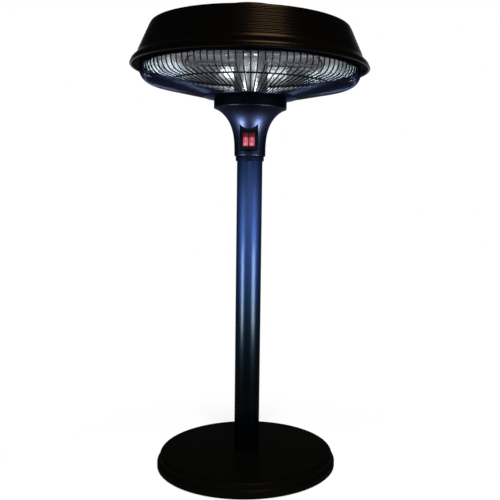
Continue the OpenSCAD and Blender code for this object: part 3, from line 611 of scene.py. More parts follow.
def coat_group():
    """Sprayed coat: orange peel in the height, slow patches in roughness, a little dust where
    the surface faces up."""
    group, entry = new_group(
        "Sprayed coat",
        [("Color", BLACK), ("Dust", BLACK), ("Roughness", 0.4), ("Patch", 0.06), ("Grain", 900.0),
         ("Dust amount", 0.1)], SURFACE)
    place = object_place(group)
    peel = noise(group, place, entry["Grain"], 3.0)
    patches = noise(group, place, PATCH_SCALE, 4.0)
    facing = add(group, "SeparateXYZ", {0: add(group, "NewGeometry").outputs["Normal"]}).outputs["Z"]
    lying = stepped(group, facing, *FACING_UP)
    speckle = stepped(group, noise(group, place, DUST_SCALE, 5.0), *DUST_EDGE)
    dust = calc(group, "MULTIPLY", calc(group, "MULTIPLY", lying, speckle), entry["Dust amount"])
    shift = spread(group, patches, -1.0, 1.0)
    rough = calc(group, "ADD", entry["Roughness"], calc(group, "MULTIPLY", shift, entry["Patch"]))
    rough = calc(group, "ADD", rough, calc(group, "MULTIPLY", dust, DUST_ROUGHNESS), clamp=True)
    color = mixed(group, dust, entry["Color"], entry["Dust"])
    return close_group(group, {"Color": color, "Roughness": rough, "Height": peel})


def metal_group():
    """Drawn or spun metal: fine lines, drawn out sideways, with slow stains."""
    group, entry = new_group(
        "Drawn metal",
        [("Color", BLACK), ("Stain", BLACK), ("Roughness", 0.3), ("Lines", 0.12), ("Stained", 0.3)],
        SURFACE)
    lines = noise(group, object_place(group, LINE_STRETCH), LINE_SCALE, 3.0)
    stains = stepped(group, noise(group, object_place(group), STAIN_SCALE, 4.0), *STAIN_EDGE)
    stained = calc(group, "MULTIPLY", stains, entry["Stained"])
    color = mixed(group, stained, entry["Color"], entry["Stain"])
    shift = calc(group, "MULTIPLY", spread(group, lines, -1.0, 1.0), entry["Lines"])
    rough = calc(group, "ADD", calc(group, "ADD", entry["Roughness"], shift),
                 calc(group, "MULTIPLY", stained, STAIN_ROUGHNESS), clamp=True)
    return close_group(group, {"Color": color, "Roughness": rough, "Height": lines})


def mould_group():
    """Moulded plastic or ceramic: a fine even grain, faint flow marks and slightly uneven gloss."""
    group, entry = new_group(
        "Moulded surface",
        [("Color", BLACK), ("Shade", BLACK), ("Roughness", 0.45), ("Uneven", 0.08), ("Grain", 1600.0)],
        SURFACE)
    grain = noise(group, object_place(group), entry["Grain"], 2.0)
    flow = noise(group, object_place(group, FLOW_STRETCH), FLOW_SCALE, 3.0)
    color = mixed(group, stepped(group, flow, *FLOW_EDGE), entry["Color"], entry["Shade"])
    shift = calc(group, "MULTIPLY", spread(group, flow, -1.0, 1.0), entry["Uneven"])
    rough = calc(group, "ADD", entry["Roughness"], shift, clamp=True)
    return close_group(group, {"Color": color, "Roughness": rough, "Height": grain})


def shared(maker):
    """The node group that a maker builds, built once."""
    key = maker.__name__
    if key not in GROUPS:
        GROUPS[key] = maker()
    return GROUPS[key]


def finish(name, maker, inputs, bump=0.1, distance=0.0002, **shader):
    """A material: the shared group feeds a Principled shader, which holds the plain values itself."""
    material = bpy.data.materials.new(name)
    material.use_nodes = True
    tree = material.node_tree
    surface = surface_of(material)
    group = add(tree, "Group", node_tree=shared(maker))
    for label, value in inputs.items():
        group.inputs[label].default_value = value
    tree.links.new(group.outputs["Color"], surface.inputs["Base Color"])
    tree.links.new(group.outputs["Roughness"], surface.inputs["Roughness"])
    relief = add(tree, "Bump", {"Strength": bump, "Distance": distance,
                                "Height": group.outputs["Height"]})
    tree.links.new(relief.outputs["Normal"], surface.inputs["Normal"])
    for label, value in shader.items():
        surface.inputs[label.replace("_", " ")].default_value = value
    return material


def sprayed(name, rgb, dust, roughness, patch=0.05, bump=0.08, dust_amount=0.12, **shader):
    """A sprayed metal coat."""
    return finish(name, coat_group, {
        "Color": with_alpha(rgb), "Dust": with_alpha(dust), "Roughness": roughness, "Patch": patch,
        "Dust amount": dust_amount}, bump, **shader)


def drawn(name, rgb, stain, roughness, lines=0.1, stained=0.3, bump=0.05, **shader):
    """A bare or plated metal."""
    return finish(name, metal_group, {
        "Color": with_alpha(rgb), "Stain": with_alpha(stain), "Roughness": roughness,
        "Lines": lines, "Stained": stained}, bump, Metallic=1.0, **shader)


def moulded(name, rgb, roughness, uneven=0.06, grain=1600.0, bump=0.1, shade=0.75, **shader):
    """A moulded plastic, rubber or ceramic."""
    return finish(name, mould_group, {
        "Color": with_alpha(rgb), "Shade": with_alpha(tinted(rgb, shade)), "Roughness": roughness,
        "Uneven": uneven, "Grain": grain}, bump, **shader)


def finish_shade(c):
    """Gloss black enamel of the shade and its cap."""
    return sprayed("shade_enamel", c.enamel, dust=(0.012, 0.011, 0.010), roughness=0.25, patch=0.02,
                   bump=0.02, dust_amount=0.02, Specular_IOR_Level=0.09)


def finish_base(c):
    """Satin black of the base and of the plate round the reflector."""
    return sprayed("base_satin", c.base_paint, dust=(0.012, 0.012, 0.009), roughness=0.40, bump=0.10,
                   dust_amount=0.10, Specular_IOR_Level=0.0, Coat_Weight=0.05, Coat_Roughness=0.35)


def finish_post(c):
    """Satin coat of the post, with light and shade painted by height on it: a painted shadow of the
    housing at the top, lit navy below, and painted shade fading to near black at the foot.
    """
    material = sprayed("post_satin", c.post_shaded_top, dust=(0.02, 0.02, 0.02), roughness=0.50, patch=0.02,
                       bump=0.03, dust_amount=0.0, Metallic=0.75, Specular_IOR_Level=0.0,
                       Specular_Tint=with_alpha(c.edge), Coat_Weight=0.08, Coat_Roughness=0.22)
    tree = material.node_tree
    place = measured(tree, height_on(tree), low("post_tube")[2], high("post_tube")[2])
    # The ramp paints the fall of light down the post: shaded at the top under the housing, lit navy
    # below, and painted shade to near black at the foot.
    return painted(material, ramp(tree, place, (
        (0.25, c.post_shaded_foot), (0.44, c.post_shaded_lower), (0.58, c.post_shading_middle), (0.73, c.post_lit_upper),
        (0.87, c.post_lit_peak), (0.99, c.post_shaded_top))))


def rounded_edges(material, radius, amount):
    """Rounds sharp edges in the shading, as much as the amount says, from 0 to 1."""
    tree = material.node_tree
    relief = relief_of(material)
    plain = add(tree, "NewGeometry").outputs["Normal"]
    soft = add(tree, "Bevel", {"Radius": radius}, samples=6).outputs["Normal"]
    both = add(tree, "Mix", {0: amount, 4: plain, 5: soft}, data_type="VECTOR").outputs[1]
    tree.links.new(both, relief.inputs["Normal"])
    tree.links.new(relief.outputs["Normal"], surface_of(material).inputs["Coat Normal"])
    return material


FLANGE_HEIGHT = 0.0172
FLANGE_SHADE_FADE = (0.0004, 0.0018)
EDGE_RADIUS = 0.0024
EDGE_REACH = (0.004, 0.002)


def finish_housing(c):
    """Metallic coat of the moulded housing, with light and shade painted by height: navy where the
    flare is lit, painted shade on the neck and near the flange, and the flange painted near black as
    shade. Its edges at the flange and the foot are softened."""
    material = moulded("housing_plastic", c.navy, roughness=0.40, uneven=0.03, grain=1300.0,
                       bump=0.03, Metallic=1.0, Specular_Tint=with_alpha(c.edge), Coat_Weight=0.11,
                       Coat_Roughness=0.30)
    edge = low("guard_disc")[2] - FLANGE_HEIGHT
    foot = low("housing_left")[2]
    tree = material.node_tree
    height = height_on(tree)
    # The two darker navies are painted shade on the neck and next to the flange, and the flange's near
    # black is painted shade too.
    housing_shaded_dim, housing_shaded_deep = tinted(c.navy, 0.4), tinted(c.navy, 0.25)
    body = ramp(tree, measured(tree, height, foot, edge), (
        (0.0, housing_shaded_dim), (0.45, housing_shaded_deep), (0.62, tinted(c.navy, 0.7)), (0.76, c.navy), (0.88, housing_shaded_dim),
        (1.0, housing_shaded_deep)))
    start, end = FLANGE_SHADE_FADE
    flange_shade = stepped(tree, height, edge + start, edge + end)
    painted(material, mixed(tree, flange_shade, body, with_alpha(c.flange)))
    far, close = EDGE_REACH
    near = calc(tree, "ADD", stepped(tree, height, edge - far, edge - close),
                stepped(tree, height, foot + far, foot + close), clamp=True)
    return rounded_edges(material, EDGE_RADIUS, near)


def finish_collar(c):
    """Satin navy of the collar under the housing."""
    return moulded("collar_satin", c.collar, roughness=0.4, uneven=0.03, grain=1300.0, bump=0.03,
                   Specular_IOR_Level=0.0, Coat_Weight=0.05, Coat_Roughness=0.35)


def finish_disc(c):
    """Metallic navy coat of the plate in the middle of the guard."""
    return sprayed("plate_satin", c.plate, dust=(0.02, 0.02, 0.03), roughness=0.27, bump=0.05,
                   dust_amount=0.02, Metallic=1.0, Specular_Tint=with_alpha(c.edge))


def finish_guard(c):
    """Blue black coat of the guard."""
    return sprayed("guard_satin", c.guard, dust=(0.03, 0.03, 0.04), roughness=0.30, bump=0.05,
                   dust_amount=0.02, Metallic=0.5, Specular_IOR_Level=0.0, Coat_Weight=0.06,
                   Coat_Roughness=0.09)


def finish_cast(c):
    """Rough cast iron of the ballast."""
    return finish("cast_ballast", coat_group, {
        "Color": with_alpha(c.cast), "Dust": (0.2, 0.12, 0.07, 1.0), "Roughness": 0.7, "Patch": 0.1,
        "Grain": 400.0, "Dust amount": 0.3}, bump=0.4, distance=0.0006, Metallic=0.6)


def finish_zinc(c):
    """Zinc plated sheet and bars."""
    return drawn("zinc_plate", c.zinc, stain=(0.38, 0.37, 0.33), roughness=0.33, stained=0.4)


def finish_screw(c):
    """Zinc plated fasteners."""
    return drawn("zinc_fastener", c.zinc, stain=(0.30, 0.29, 0.27), roughness=0.27, lines=0.08)


def finish_rubber(c):
    """Matt rubber of the feet."""
    return moulded("foot_rubber", c.rubber, roughness=0.78, uneven=0.08, grain=900.0, bump=0.2,
                   Specular_IOR_Level=0.3)


def finish_black_plastic(c):
    """Matt black plastic of small moulded parts."""
    return moulded("black_plastic", (0.008, 0.008, 0.009), roughness=0.5, uneven=0.08,
                   grain=1500.0, bump=0.15)


def finish_switch(c):
    """Smooth black plastic of the switch frame."""
    return moulded("switch_plastic", (0.006, 0.006, 0.008), roughness=0.28, uneven=0.04,
                   grain=2200.0, bump=0.03)


ROCKER_SHADE_FADE = 0.008


def finish_rocker(c):
    """Clear red plastic of the rockers, with light and shade painted by height: a paler lower part as a
    painted highlight, and a deep red upper end as painted shade.
    """
    material = moulded("rocker_red", c.rocker, roughness=0.16, uneven=0.03, grain=2500.0, bump=0.02,
                       shade=0.9, Coat_Weight=0.5, Coat_Roughness=0.08)
    tree = material.node_tree
    middle = (low("switch_body")[2] + high("switch_body")[2]) / 2
    # Painted shade on the upper end of each rocker, over the painted highlight of its paler lower part.
    above = stepped(tree, height_on(tree), middle, middle + ROCKER_SHADE_FADE)
    return painted(material, mixed(tree, above, with_alpha(c.rocker), with_alpha(c.rocker_shaded_top)))


def finish_brass(c):
    """Brass of the switch's tabs."""
    return drawn("brass", c.brass, stain=(0.45, 0.28, 0.10), roughness=0.3, stained=0.4)


def finish_ceramic(c):
    """Unglazed ceramic of the lamp ends and the terminal block."""
    return moulded("ceramic", c.ceramic, roughness=0.62, uneven=0.08, grain=1200.0, bump=0.12,
                   shade=0.88)


def finish_column(c):
    """Polished aluminium of the column in the middle."""
    return drawn("polished_aluminium", c.bright, stain=tinted(c.bright, 0.8), roughness=0.24,
                 lines=0.04, bump=0.02)


DENT_SCALE = 26.0
DENT_DEPTH = 0.004
DENT_STRENGTH = 0.35


def finish_reflector(c):
    """Satin bright aluminium of the reflector: spun lines and the slow dents of thin sheet."""
    material = drawn("reflector_aluminium", c.dull, stain=tinted(c.dull, 0.75), roughness=0.24,
                     lines=0.06, stained=0.35, bump=0.03)
    tree = material.node_tree
    lines = relief_of(material).outputs["Normal"]
    dented = add(tree, "Bump", {"Strength": DENT_STRENGTH, "Distance": DENT_DEPTH, "Normal": lines,
                                "Height": noise(tree, object_place(tree), DENT_SCALE)})
    tree.links.new(dented.outputs["Normal"], surface_of(material).inputs["Normal"])
    return material


def finish_quartz(c):
    """Clear quartz, very slightly uneven."""
    return finish("quartz", mould_group, {
        "Color": (0.93, 0.94, 0.95, 1.0), "Shade": (0.86, 0.87, 0.88, 1.0), "Roughness": 0.03,
        "Uneven": 0.02, "Grain": 300.0}, bump=0.03, Transmission_Weight=1.0, IOR=1.46)


def finish_filament(c):
    """Dull drawn tungsten."""
    return drawn("tungsten", (0.22, 0.21, 0.20), stain=(0.12, 0.11, 0.10), roughness=0.38,
                 stained=0.4)


def finish_lead(c):
    """Red silicone of the leads."""
    return moulded("lead_silicone", c.lead, roughness=0.45, grain=900.0, bump=0.08, shade=0.8)


def finish_mark(c):
    """White printed marks of the rockers, tinted pink. The ring low on each rocker is partly a painted
    highlight.
    """
    return moulded("rocker_mark", c.mark, roughness=0.3, uneven=0.04, grain=1800.0, bump=0.02,
                   shade=0.92)


MAKERS = {
    "black_paint": finish_base, "shade_paint": finish_shade, "post_paint": finish_post,
    "housing_paint": finish_disc, "guard_paint": finish_guard, "cast_ballast": finish_cast,
    "plated_steel": finish_zinc, "screw_steel": finish_screw, "foot_rubber": finish_rubber,
    "black_plastic": finish_black_plastic, "housing_plastic": finish_housing,
    "switch_plastic": finish_switch, "rocker_red": finish_rocker, "brass_tabs": finish_brass,
    "ceramic": finish_ceramic, "bright_aluminium": finish_column,
    "reflector_aluminium": finish_reflector, "quartz": finish_quartz,
    "filament_wire": finish_filament, "lead_silicone": finish_lead, "rocker_mark": finish_mark,
    "collar_satin": finish_collar,
}


def finish_for(slot):
    """The material of a slot, built once."""
    if slot not in FINISHES:
        FINISHES[slot] = MAKERS[slot](bpy.context.scene.heater_colours)
    return FINISHES[slot]


class HEATER_OT_finishes(bpy.types.Operator):
    """Give every modelled node the finish of its slot"""
    bl_idname = "heater.finishes"
    bl_label = "Finish the modelled nodes"

    def execute(self, context):
        for row in frame["record"]["subparts"]:
            mesh = NODES[row["node"]].data
            mesh.materials.clear()
            mesh.materials.append(finish_for(row["material_slot"]))
        return {"FINISHED"}


# Studio

# Each light is its name, its place, the height on the post's axis that it is turned to, its width and
# height, its power and its colour. The key lights the rough surfaces. The gloss has a tall cool pair
# for the coats, a low pair for the reflector, a pair at the sides for the column, a broad light in
# front for the post and the plate, and a warm one above for the shade.

COOL = (0.74, 0.89, 1.0)
PLAIN = (0.94, 0.98, 1.0)
KEY_LIGHT = ("key", (0.25, -1.85, 1.30), 0.55, 1.0, 1.0, 34.0, (1.0, 0.98, 0.96))
GLOSS_LIGHTS = (
    ("tall_left", (-0.46, -0.39, 0.29), 0.29, 0.24, 0.31, 27.0, COOL),
    ("tall_right", (0.47, -0.38, 0.29), 0.29, 0.30, 0.31, 32.0, COOL),
    ("low_left", (-0.75, -1.70, 0.45), 0.85, 0.9, 0.5, 9.0, PLAIN),
    ("low_right", (0.75, -1.70, 0.45), 0.85, 0.9, 0.5, 26.0, PLAIN),
    ("side_left", (-0.47, -0.70, 0.58), 0.85, 0.2, 0.3, 5.0, PLAIN),
    ("side_right", (0.50, -0.68, 0.58), 0.85, 0.2, 0.3, 5.5, PLAIN),
    ("front", (0.1, -1.75, 0.52), 0.52, 0.8, 1.4, 20.0, (0.60, 0.78, 1.0)),
    ("warm", (0.55, -1.05, 2.5), 0.83, 0.85, 1.1, 34.0, (1.0, 0.62, 0.30)),
)

# In reflections the backdrop sets in between two values of the way's Y and ends between two of its Z,
# and the room and the backdrop have a strength each. On the floor the shadow ends between two
# distances from the axis, and reflections of the floor are dimmed in front of the object and behind.

BACKDROP_WAY = (0.75, 0.97)
CEILING_WAY = (0.5, 0.2)
ROOM_STRENGTH = (0.02, 0.45)
FLOOR_RADIUS = 9.0
WHITE = (1.0, 1.0, 1.0, 1.0)
FLOOR_WHITE = (0.85, 0.85, 0.85, 1.0)
SHADOW_REACH = (0.19, 0.50)
SHADOW_LIFT = 0.66
BEHIND = (-0.1, 0.6)
FLOOR_DIMMING = (0.68, 0.5)
SENSOR = 36.0
PICTURE = 500.0


def add_light(name, place, aim_height, width, height, power, rgb, on_gloss):
    """A rectangular light at a place, turned to a height on the post's axis, for glossy surfaces or
    else for rough ones."""
    lamp = bpy.data.lights.new(name, "AREA")
    lamp.shape = "RECTANGLE"
    lamp.size = width
    lamp.size_y = height
    lamp.energy = power
    lamp.color = rgb
    light = bpy.data.objects.new(name, lamp)
    bpy.context.scene.collection.objects.link(light)
    light.location = place
    aim = np.array([0.0, 0.0, aim_height]) - np.array(place)
    light.rotation_mode = "QUATERNION"
    light.rotation_quaternion = Vector(aim).to_track_quat("-Z", "Y")
    light.visible_camera = False
    light.visible_glossy = on_gloss
    light.visible_diffuse = not on_gloss


def seen_directly(tree):
    """1 for camera, glossy and transmission rays, otherwise 0."""
    path = add(tree, "LightPath").outputs
    total = calc(tree, "ADD", path["Is Camera Ray"], path["Is Glossy Ray"])
    return calc(tree, "ADD", total, path["Is Transmission Ray"], clamp=True)


def studio_world(fill):
    """World: white to the camera. In reflections the backdrop behind the object is grey, and the
    ceiling and the room in front are nearly black. Rough surfaces get an even fill."""
    world = bpy.data.worlds.new("studio")
    bpy.context.scene.world = world
    world.use_nodes = True
    tree = world.node_tree
    path = add(tree, "LightPath").outputs
    way = add(tree, "SeparateXYZ", {0: add(tree, "TexCoord").outputs["Generated"]}).outputs
    backdrop = calc(tree, "MULTIPLY", stepped(tree, way["Y"], *BACKDROP_WAY),
                    stepped(tree, way["Z"], *CEILING_WAY))
    mirrored = spread(tree, backdrop, *ROOM_STRENGTH)
    reflected = calc(tree, "MAXIMUM", path["Is Glossy Ray"], path["Is Transmission Ray"])
    strength = calc(tree, "ADD", calc(tree, "MULTIPLY", reflected, mirrored),
                    calc(tree, "MULTIPLY", calc(tree, "SUBTRACT", 1.0, reflected), fill))
    strength = calc(tree, "MAXIMUM", strength, path["Is Camera Ray"])
    background = tree.nodes["Background"]
    background.inputs["Color"].default_value = WHITE
    tree.links.new(strength, background.inputs["Strength"])


def floor_material():
    """Floor: rough white that takes the shadow near the object and turns to plain white further out.
    In reflections it is dimmer, most of all in front, as in a dark room."""
    material = bpy.data.materials.new("floor_white")
    material.use_nodes = True
    tree = material.node_tree
    tree.nodes.clear()
    place = add(tree, "TexCoord").outputs["Object"]
    away = add(tree, "VectorMath", {0: place}, operation="LENGTH").outputs["Value"]
    far = stepped(tree, away, *SHADOW_REACH)
    rough = add(tree, "BsdfDiffuse", {"Color": FLOOR_WHITE}).outputs[0]
    path = add(tree, "LightPath").outputs
    lifted = calc(tree, "MULTIPLY", path["Is Camera Ray"], SHADOW_LIFT)
    lift = add(tree, "Emission", {"Strength": lifted}).outputs[0]
    near_surface = add(tree, "AddShader", {0: rough, 1: lift}).outputs[0]
    behind = stepped(tree, add(tree, "SeparateXYZ", {0: place}).outputs["Y"], *BEHIND)
    dimmed = calc(tree, "MULTIPLY", path["Is Glossy Ray"], spread(tree, behind, *FLOOR_DIMMING))
    factor = calc(tree, "MULTIPLY", far, seen_directly(tree))
    white = add(tree, "Emission", {"Strength": calc(tree, "SUBTRACT", 1.0, dimmed)}).outputs[0]
    both = add(tree, "MixShader", {0: factor, 1: near_surface, 2: white}).outputs[0]
    add(tree, "OutputMaterial", {"Surface": both})
    return material


class HEATER_OT_studio(bpy.types.Operator):
    """Make the floor, the lights and the camera"""
    bl_idname = "heater.studio"
    bl_label = "Make the studio"

    def execute(self, context):
        studio = context.scene.heater_studio
        context.scene.view_settings.view_transform = "Standard"
        studio_world(studio.fill)
        a = np.linspace(0.0, 2 * np.pi, 64, endpoint=False)
        mesh = bpy.data.meshes.new("floor")
        ring = FLOOR_RADIUS * np.stack([np.cos(a), np.sin(a), np.zeros_like(a)], axis=1)
        mesh.from_pydata(ring.tolist(), [], [list(range(len(a)))])
        floor = bpy.data.objects.new("floor", mesh)
        context.scene.collection.objects.link(floor)
        mesh.materials.append(floor_material())
        add_light(*KEY_LIGHT, on_gloss=False)
        for row in GLOSS_LIGHTS:
            add_light(*row, on_gloss=True)
        self.camera(context, studio)
        return {"FINISHED"}

    def camera(self, context, studio):
        """Camera of the photograph: it looks along +Y, then turned by yaw, pitch and roll, and carried
        round the post. The picture centre gives the shift."""
        cp, sp = math.cos(studio.camera_pitch), math.sin(studio.camera_pitch)
        cr, sr = math.cos(studio.camera_roll), math.sin(studio.camera_roll)
        yaw = studio.camera_yaw + studio.camera_round
        cy, sy = math.cos(yaw), math.sin(yaw)
        pitch = np.array([[1, 0, 0], [0, cp, -sp], [0, sp, cp]])
        roll = np.array([[cr, 0, sr], [0, 1, 0], [-sr, 0, cr]])
        turned_by = np.array([[cy, -sy, 0], [sy, cy, 0], [0, 0, 1]])
        right, forward, up = (turned_by @ pitch @ roll).T
        data = bpy.data.cameras.new("camera")
        data.sensor_width = SENSOR
        data.lens = studio.focal / PICTURE * SENSOR
        data.shift_x = (PICTURE / 2 - studio.centre_x) / PICTURE
        data.clip_start = 0.05
        data.clip_end = 50.0
        camera = bpy.data.objects.new("camera", data)
        context.scene.collection.objects.link(camera)
        spot = (studio.camera_distance * math.sin(studio.camera_round),
                -studio.camera_distance * math.cos(studio.camera_round), studio.camera_height)
        rows = [[right[i], up[i], -forward[i], spot[i]] for i in range(3)] + [[0, 0, 0, 1]]
        camera.matrix_world = Matrix(rows)
        context.scene.camera = camera


# Turned pieces


def one_piece(name, outline, slot, replaced, steps=256, finish_name=None):
    """A closed outline turned about the Z axis, in place of a modelled node."""
    make_piece(name, turned(outline, steps), slot, replaces=replaced, finish_name=finish_name)


LIP_FLARE = 0.0056
FLARE_START = 0.006
FLARE_END = 0.020
WALL_LAP = 0.001
RIBS_START = 0.0225
WALL_INSET = 0.0054
SHADE_SHOULDER = (0.00405, 0.0045)
ROOF_INSET = 0.0009
ROOF_SAG = 0.25
ROD_HOLE = 0.0051


class HEATER_OT_shade(bpy.types.Operator):
    """Make the ribbed shade with its rolled lip"""
    bl_idname = "heater.shade"
    bl_label = "Make the shade"

    def wall(self, h, sizes):
        """Outer radius at a height h above the lip: a straight lean, a flare that fades by a cosine
        near the lip, and a row of ribs, each one depth (1 - cos) / 2 high."""
        s = (h - RIBS_START) / sizes.rib_pitch
        ribbed = (s > 0) & (s < sizes.rib_count)
        rib = np.where(ribbed, sizes.rib_depth * 0.5 * (1.0 - np.cos(2 * np.pi * s)), 0.0)
        flare = LIP_FLARE * faded(h, FLARE_START, FLARE_END)
        return sizes.lip_radius - WALL_INSET - sizes.wall_lean * h + flare + rib

    def execute(self, context):
        """Path of the outside: the wall, a quarter ellipse for the shoulder, and a roof that rises to
        the rod's hole by t + sag t (t - 1). The sheet lies on its inner side, and a round bead closes
        the lip."""
        sizes = context.scene.heater_sizes
        bead = sizes.bead_radius
        lip = np.array([sizes.lip_radius - bead, low("shade")[2] + bead])
        wall_top = lip[1] + sizes.wall_height
        roof_top = high("shade")[2]
        h = np.linspace(FLARE_START - WALL_LAP, sizes.wall_height, 132)
        side = np.stack([self.wall(h, sizes), lip[1] + h], axis=1)
        across, up = SHADE_SHOULDER
        middle = np.array([side[-1, 0] - across, wall_top])
        a = np.radians(np.linspace(0.0, 90.0, 9)[1:-1])
        shoulder = middle + np.stack([across * np.cos(a), up * np.sin(a)], axis=1)
        start = np.array([middle[0] - ROOF_INSET, wall_top + up])
        t = np.linspace(0.0, 1.0, 14)
        roof = np.stack([start[0] + (high("top_cap")[0] - start[0]) * t,
                         start[1] + (roof_top - start[1]) * (t + ROOF_SAG * t * (t - 1))], axis=1)
        foot = lip + np.array([sizes.sheet / 2, math.sqrt(bead ** 2 - sizes.sheet ** 2 / 4)])
        path = np.vstack([[foot], side, shoulder, roof, [[ROD_HOLE, roof_top]]])
        split = math.degrees(math.asin(sizes.sheet / 2 / bead))
        roll = arc(lip, bead, 90.0 + split, 450.0 - split, 28)[1:-1]
        one_piece("shade_shell", np.vstack([sheet_outline(path, sizes.sheet), roll]), "shade_paint",
                  ["shade"], steps=240)
        return {"FINISHED"}


BAND_GAP = 0.0006
TOP_POINT = 0.03
CABLE_HOLE = 0.006


class HEATER_OT_base(bpy.types.Operator):
    """Make the stepped cover of the base with its rolled edge"""
    bl_idname = "heater.base"
    bl_label = "Make the base"

    def execute(self, context):
        """Path of the outside: a straight band, a step r = upper + (edge - upper)(1 + cos) / 2, an
        elliptical shoulder and the flat top. The sheet lies on its inner side and has a round hem."""
        sizes = context.scene.heater_sizes
        edge, upper = sizes.base_radius, sizes.upper_radius
        bottom, top = low("base_cover")[2], high("base_cover")[2]
        half = sizes.sheet / 2
        band = [[edge, bottom + half], [edge, bottom + sizes.band_height - BAND_GAP]]
        t = np.linspace(0.0, 1.0, 24)
        step = np.stack([upper + (edge - upper) * 0.5 * (1 + np.cos(np.pi * t)),
                         bottom + sizes.band_height + t * sizes.step_height], axis=1)
        a = np.radians(np.linspace(0.0, 90.0, 16))
        shoulder = np.stack([upper - sizes.shoulder_width * (1 - np.cos(a)),
                             top - sizes.shoulder_height * (1 - np.sin(a))], axis=1)
        path = np.vstack([band, step, shoulder, [[TOP_POINT, top]], [[CABLE_HOLE, top]]])
        hem = arc((edge - half, bottom + half), half, 180.0, 360.0, 7)[1:-1]
        one_piece("base_shell", np.vstack([sheet_outline(path, sizes.sheet), hem]), "black_paint",
                  ["base_cover"])
        return {"FINISHED"}


TUBE_EDGE = 0.0003


class HEATER_OT_post(bpy.types.Operator):
    """Make the smooth tube of the post"""
    bl_idname = "heater.post"
    bl_label = "Make the post"

    def execute(self, context):
        """A rectangle of the wall's width with small arcs at its four corners, turned."""
        sizes = context.scene.heater_sizes
        outer = high("post_tube")[0]
        inner = outer - sizes.post_wall
        bottom, top = low("post_tube")[2], high("post_tube")[2]
        e = TUBE_EDGE
        outline = np.vstack([
            arc((outer - e, bottom + e), e, -90, 0, 4), arc((outer - e, top - e), e, 0, 90, 4),
            arc((inner + e, top - e), e, 90, 180, 4), arc((inner + e, bottom + e), e, 180, 270, 4)])
        one_piece("post_shell", outline, "post_paint", ["post_tube"])
        return {"FINISHED"}


REFLECTOR_RIM = 0.224
REFLECTOR_EDGE = (0.0015, 0.0006)
REFLECTOR_ROUND = 0.9
REFLECTOR_SHEET = 0.001
CEILING_POINT = 0.10


class HEATER_OT_reflector(bpy.types.Operator):
    """Make the bright bowl of the reflector"""
    bl_idname = "heater.reflector"
    bl_label = "Make the reflector"

    def execute(self, context):
        """Path: the flat rim, then r = ceiling + (mouth - ceiling) cos(a)^0.9 and
        z = rim + height sin(a)^0.9 for a from 0 to 90 degrees, then the flat ceiling."""
        sizes = context.scene.heater_sizes
        rim = low("reflector")[2]
        ceiling = high("centre_column")[2]
        mouth, flat = sizes.mouth_radius, sizes.ceiling_radius
        out, up = REFLECTOR_EDGE
        a = np.radians(np.linspace(0.0, 90.0, 40)[1:])
        bowl = np.stack([flat + (mouth - flat) * np.clip(np.cos(a), 0, 1) ** REFLECTOR_ROUND,
                         rim + up + (ceiling - rim - up) * np.sin(a) ** REFLECTOR_ROUND], axis=1)
        path = np.vstack([[[REFLECTOR_RIM, rim], [mouth + out, rim], [mouth, rim + up]], bowl,
                          [[CEILING_POINT, ceiling], [ROD_HOLE, ceiling]]])
        one_piece("reflector_bowl", sheet_outline(path, -REFLECTOR_SHEET), "reflector_aluminium",
                  ["reflector"])
        return {"FINISHED"}


# Guard


PLATE_FLAT = 0.072
WELD_GAP = 0.00003
TIP = np.radians([20.0, 50.0, 75.0])


def rounded_ends(path, radius):
    """A path with three more rings at each end that close the tube in a round tip: each lies
    radius (1 - cos b) inside the end and has the radius times sin b."""
    first = (path[1] - path[0]) / np.linalg.norm(path[1] - path[0])
    last = (path[-1] - path[-2]) / np.linalg.norm(path[-1] - path[-2])
    inside = radius * (1 - np.cos(TIP))[:, None]
    body = path.copy()
    body[0] += radius * first
    body[-1] -= radius * last
    rings = np.vstack([path[0] + inside * first, body, path[-1] - inside[::-1] * last])
    tip = radius * np.sin(TIP)
    return rings, np.concatenate([tip, np.full(len(body), radius), tip[::-1]])


def torus(middle_radius, z, radius, around=240, sides=14):
    """Ring: r = middle + radius cos b, z = height + radius sin b, turned about the Z axis."""
    outline = arc((middle_radius, z), radius, 0.0, 360.0, sides + 1)[:-1]
    return turned(outline, around)


class HEATER_OT_guard(bpy.types.Operator):
    """Make the guard's wires with rounded tips, and its welded rings"""
    bl_idname = "heater.guard"
    bl_label = "Make the guard"

    def wire(self, sizes):
        """Middle line of one wire in the XZ plane: a slope from the plate, an arc, and an upright."""
        slope = sizes.guard_slope
        plate = low("centre_column")[2]
        rise = (sizes.wire_radius + WELD_GAP) / math.cos(slope)

        def height(r):
            return plate + (r - PLATE_FLAT) * math.tan(slope) + rise

        bend = sizes.guard_bend
        middle_r = sizes.guard_radius - bend
        touch_r = middle_r + bend * math.sin(slope)
        middle = (middle_r, height(touch_r) + bend * math.cos(slope))
        curve = arc(middle, bend, math.degrees(slope) - 90.0, 0.0, 12)
        run = np.linspace([sizes.wire_start, height(sizes.wire_start)], curve[0], 5)[:-1]
        flat = np.vstack([run, curve, [[sizes.guard_radius, high("guard_wires")[2]]]])
        return across_y(flat, 0.0)

    def execute(self, context):
        sizes = context.scene.heater_sizes
        rings, radii = rounded_ends(self.wire(sizes), sizes.wire_radius)
        one = tube_along(rings, radii, 10, (0.0, 1.0, 0.0))
        turns = (sizes.wire_turn - np.pi / 2
                 + np.arange(sizes.wire_count) * 2 * np.pi / sizes.wire_count)
        make_piece("guard_cage", carried_round(one, turns), "guard_paint", replaces=["guard_wires"],
                   sharp=50.0)
        for name in ("guard_ring", "guard_rim"):
            thick = (high(name)[2] - low(name)[2]) / 2
            ring = torus(high(name)[0] - thick, low(name)[2] + thick, thick)
            make_piece(name + "_wire", ring, "guard_paint", replaces=[name])
        return {"FINISHED"}


# Lamps


QUARTZ_WALL = 0.001
QUARTZ_NECK = 0.006
NECK_SHARE = 0.12
COIL_WIRE = 0.00022
COIL_END = 0.012
TAIL_WIRE = COIL_WIRE * 1.6
CERAMIC_EDGE = 0.0008


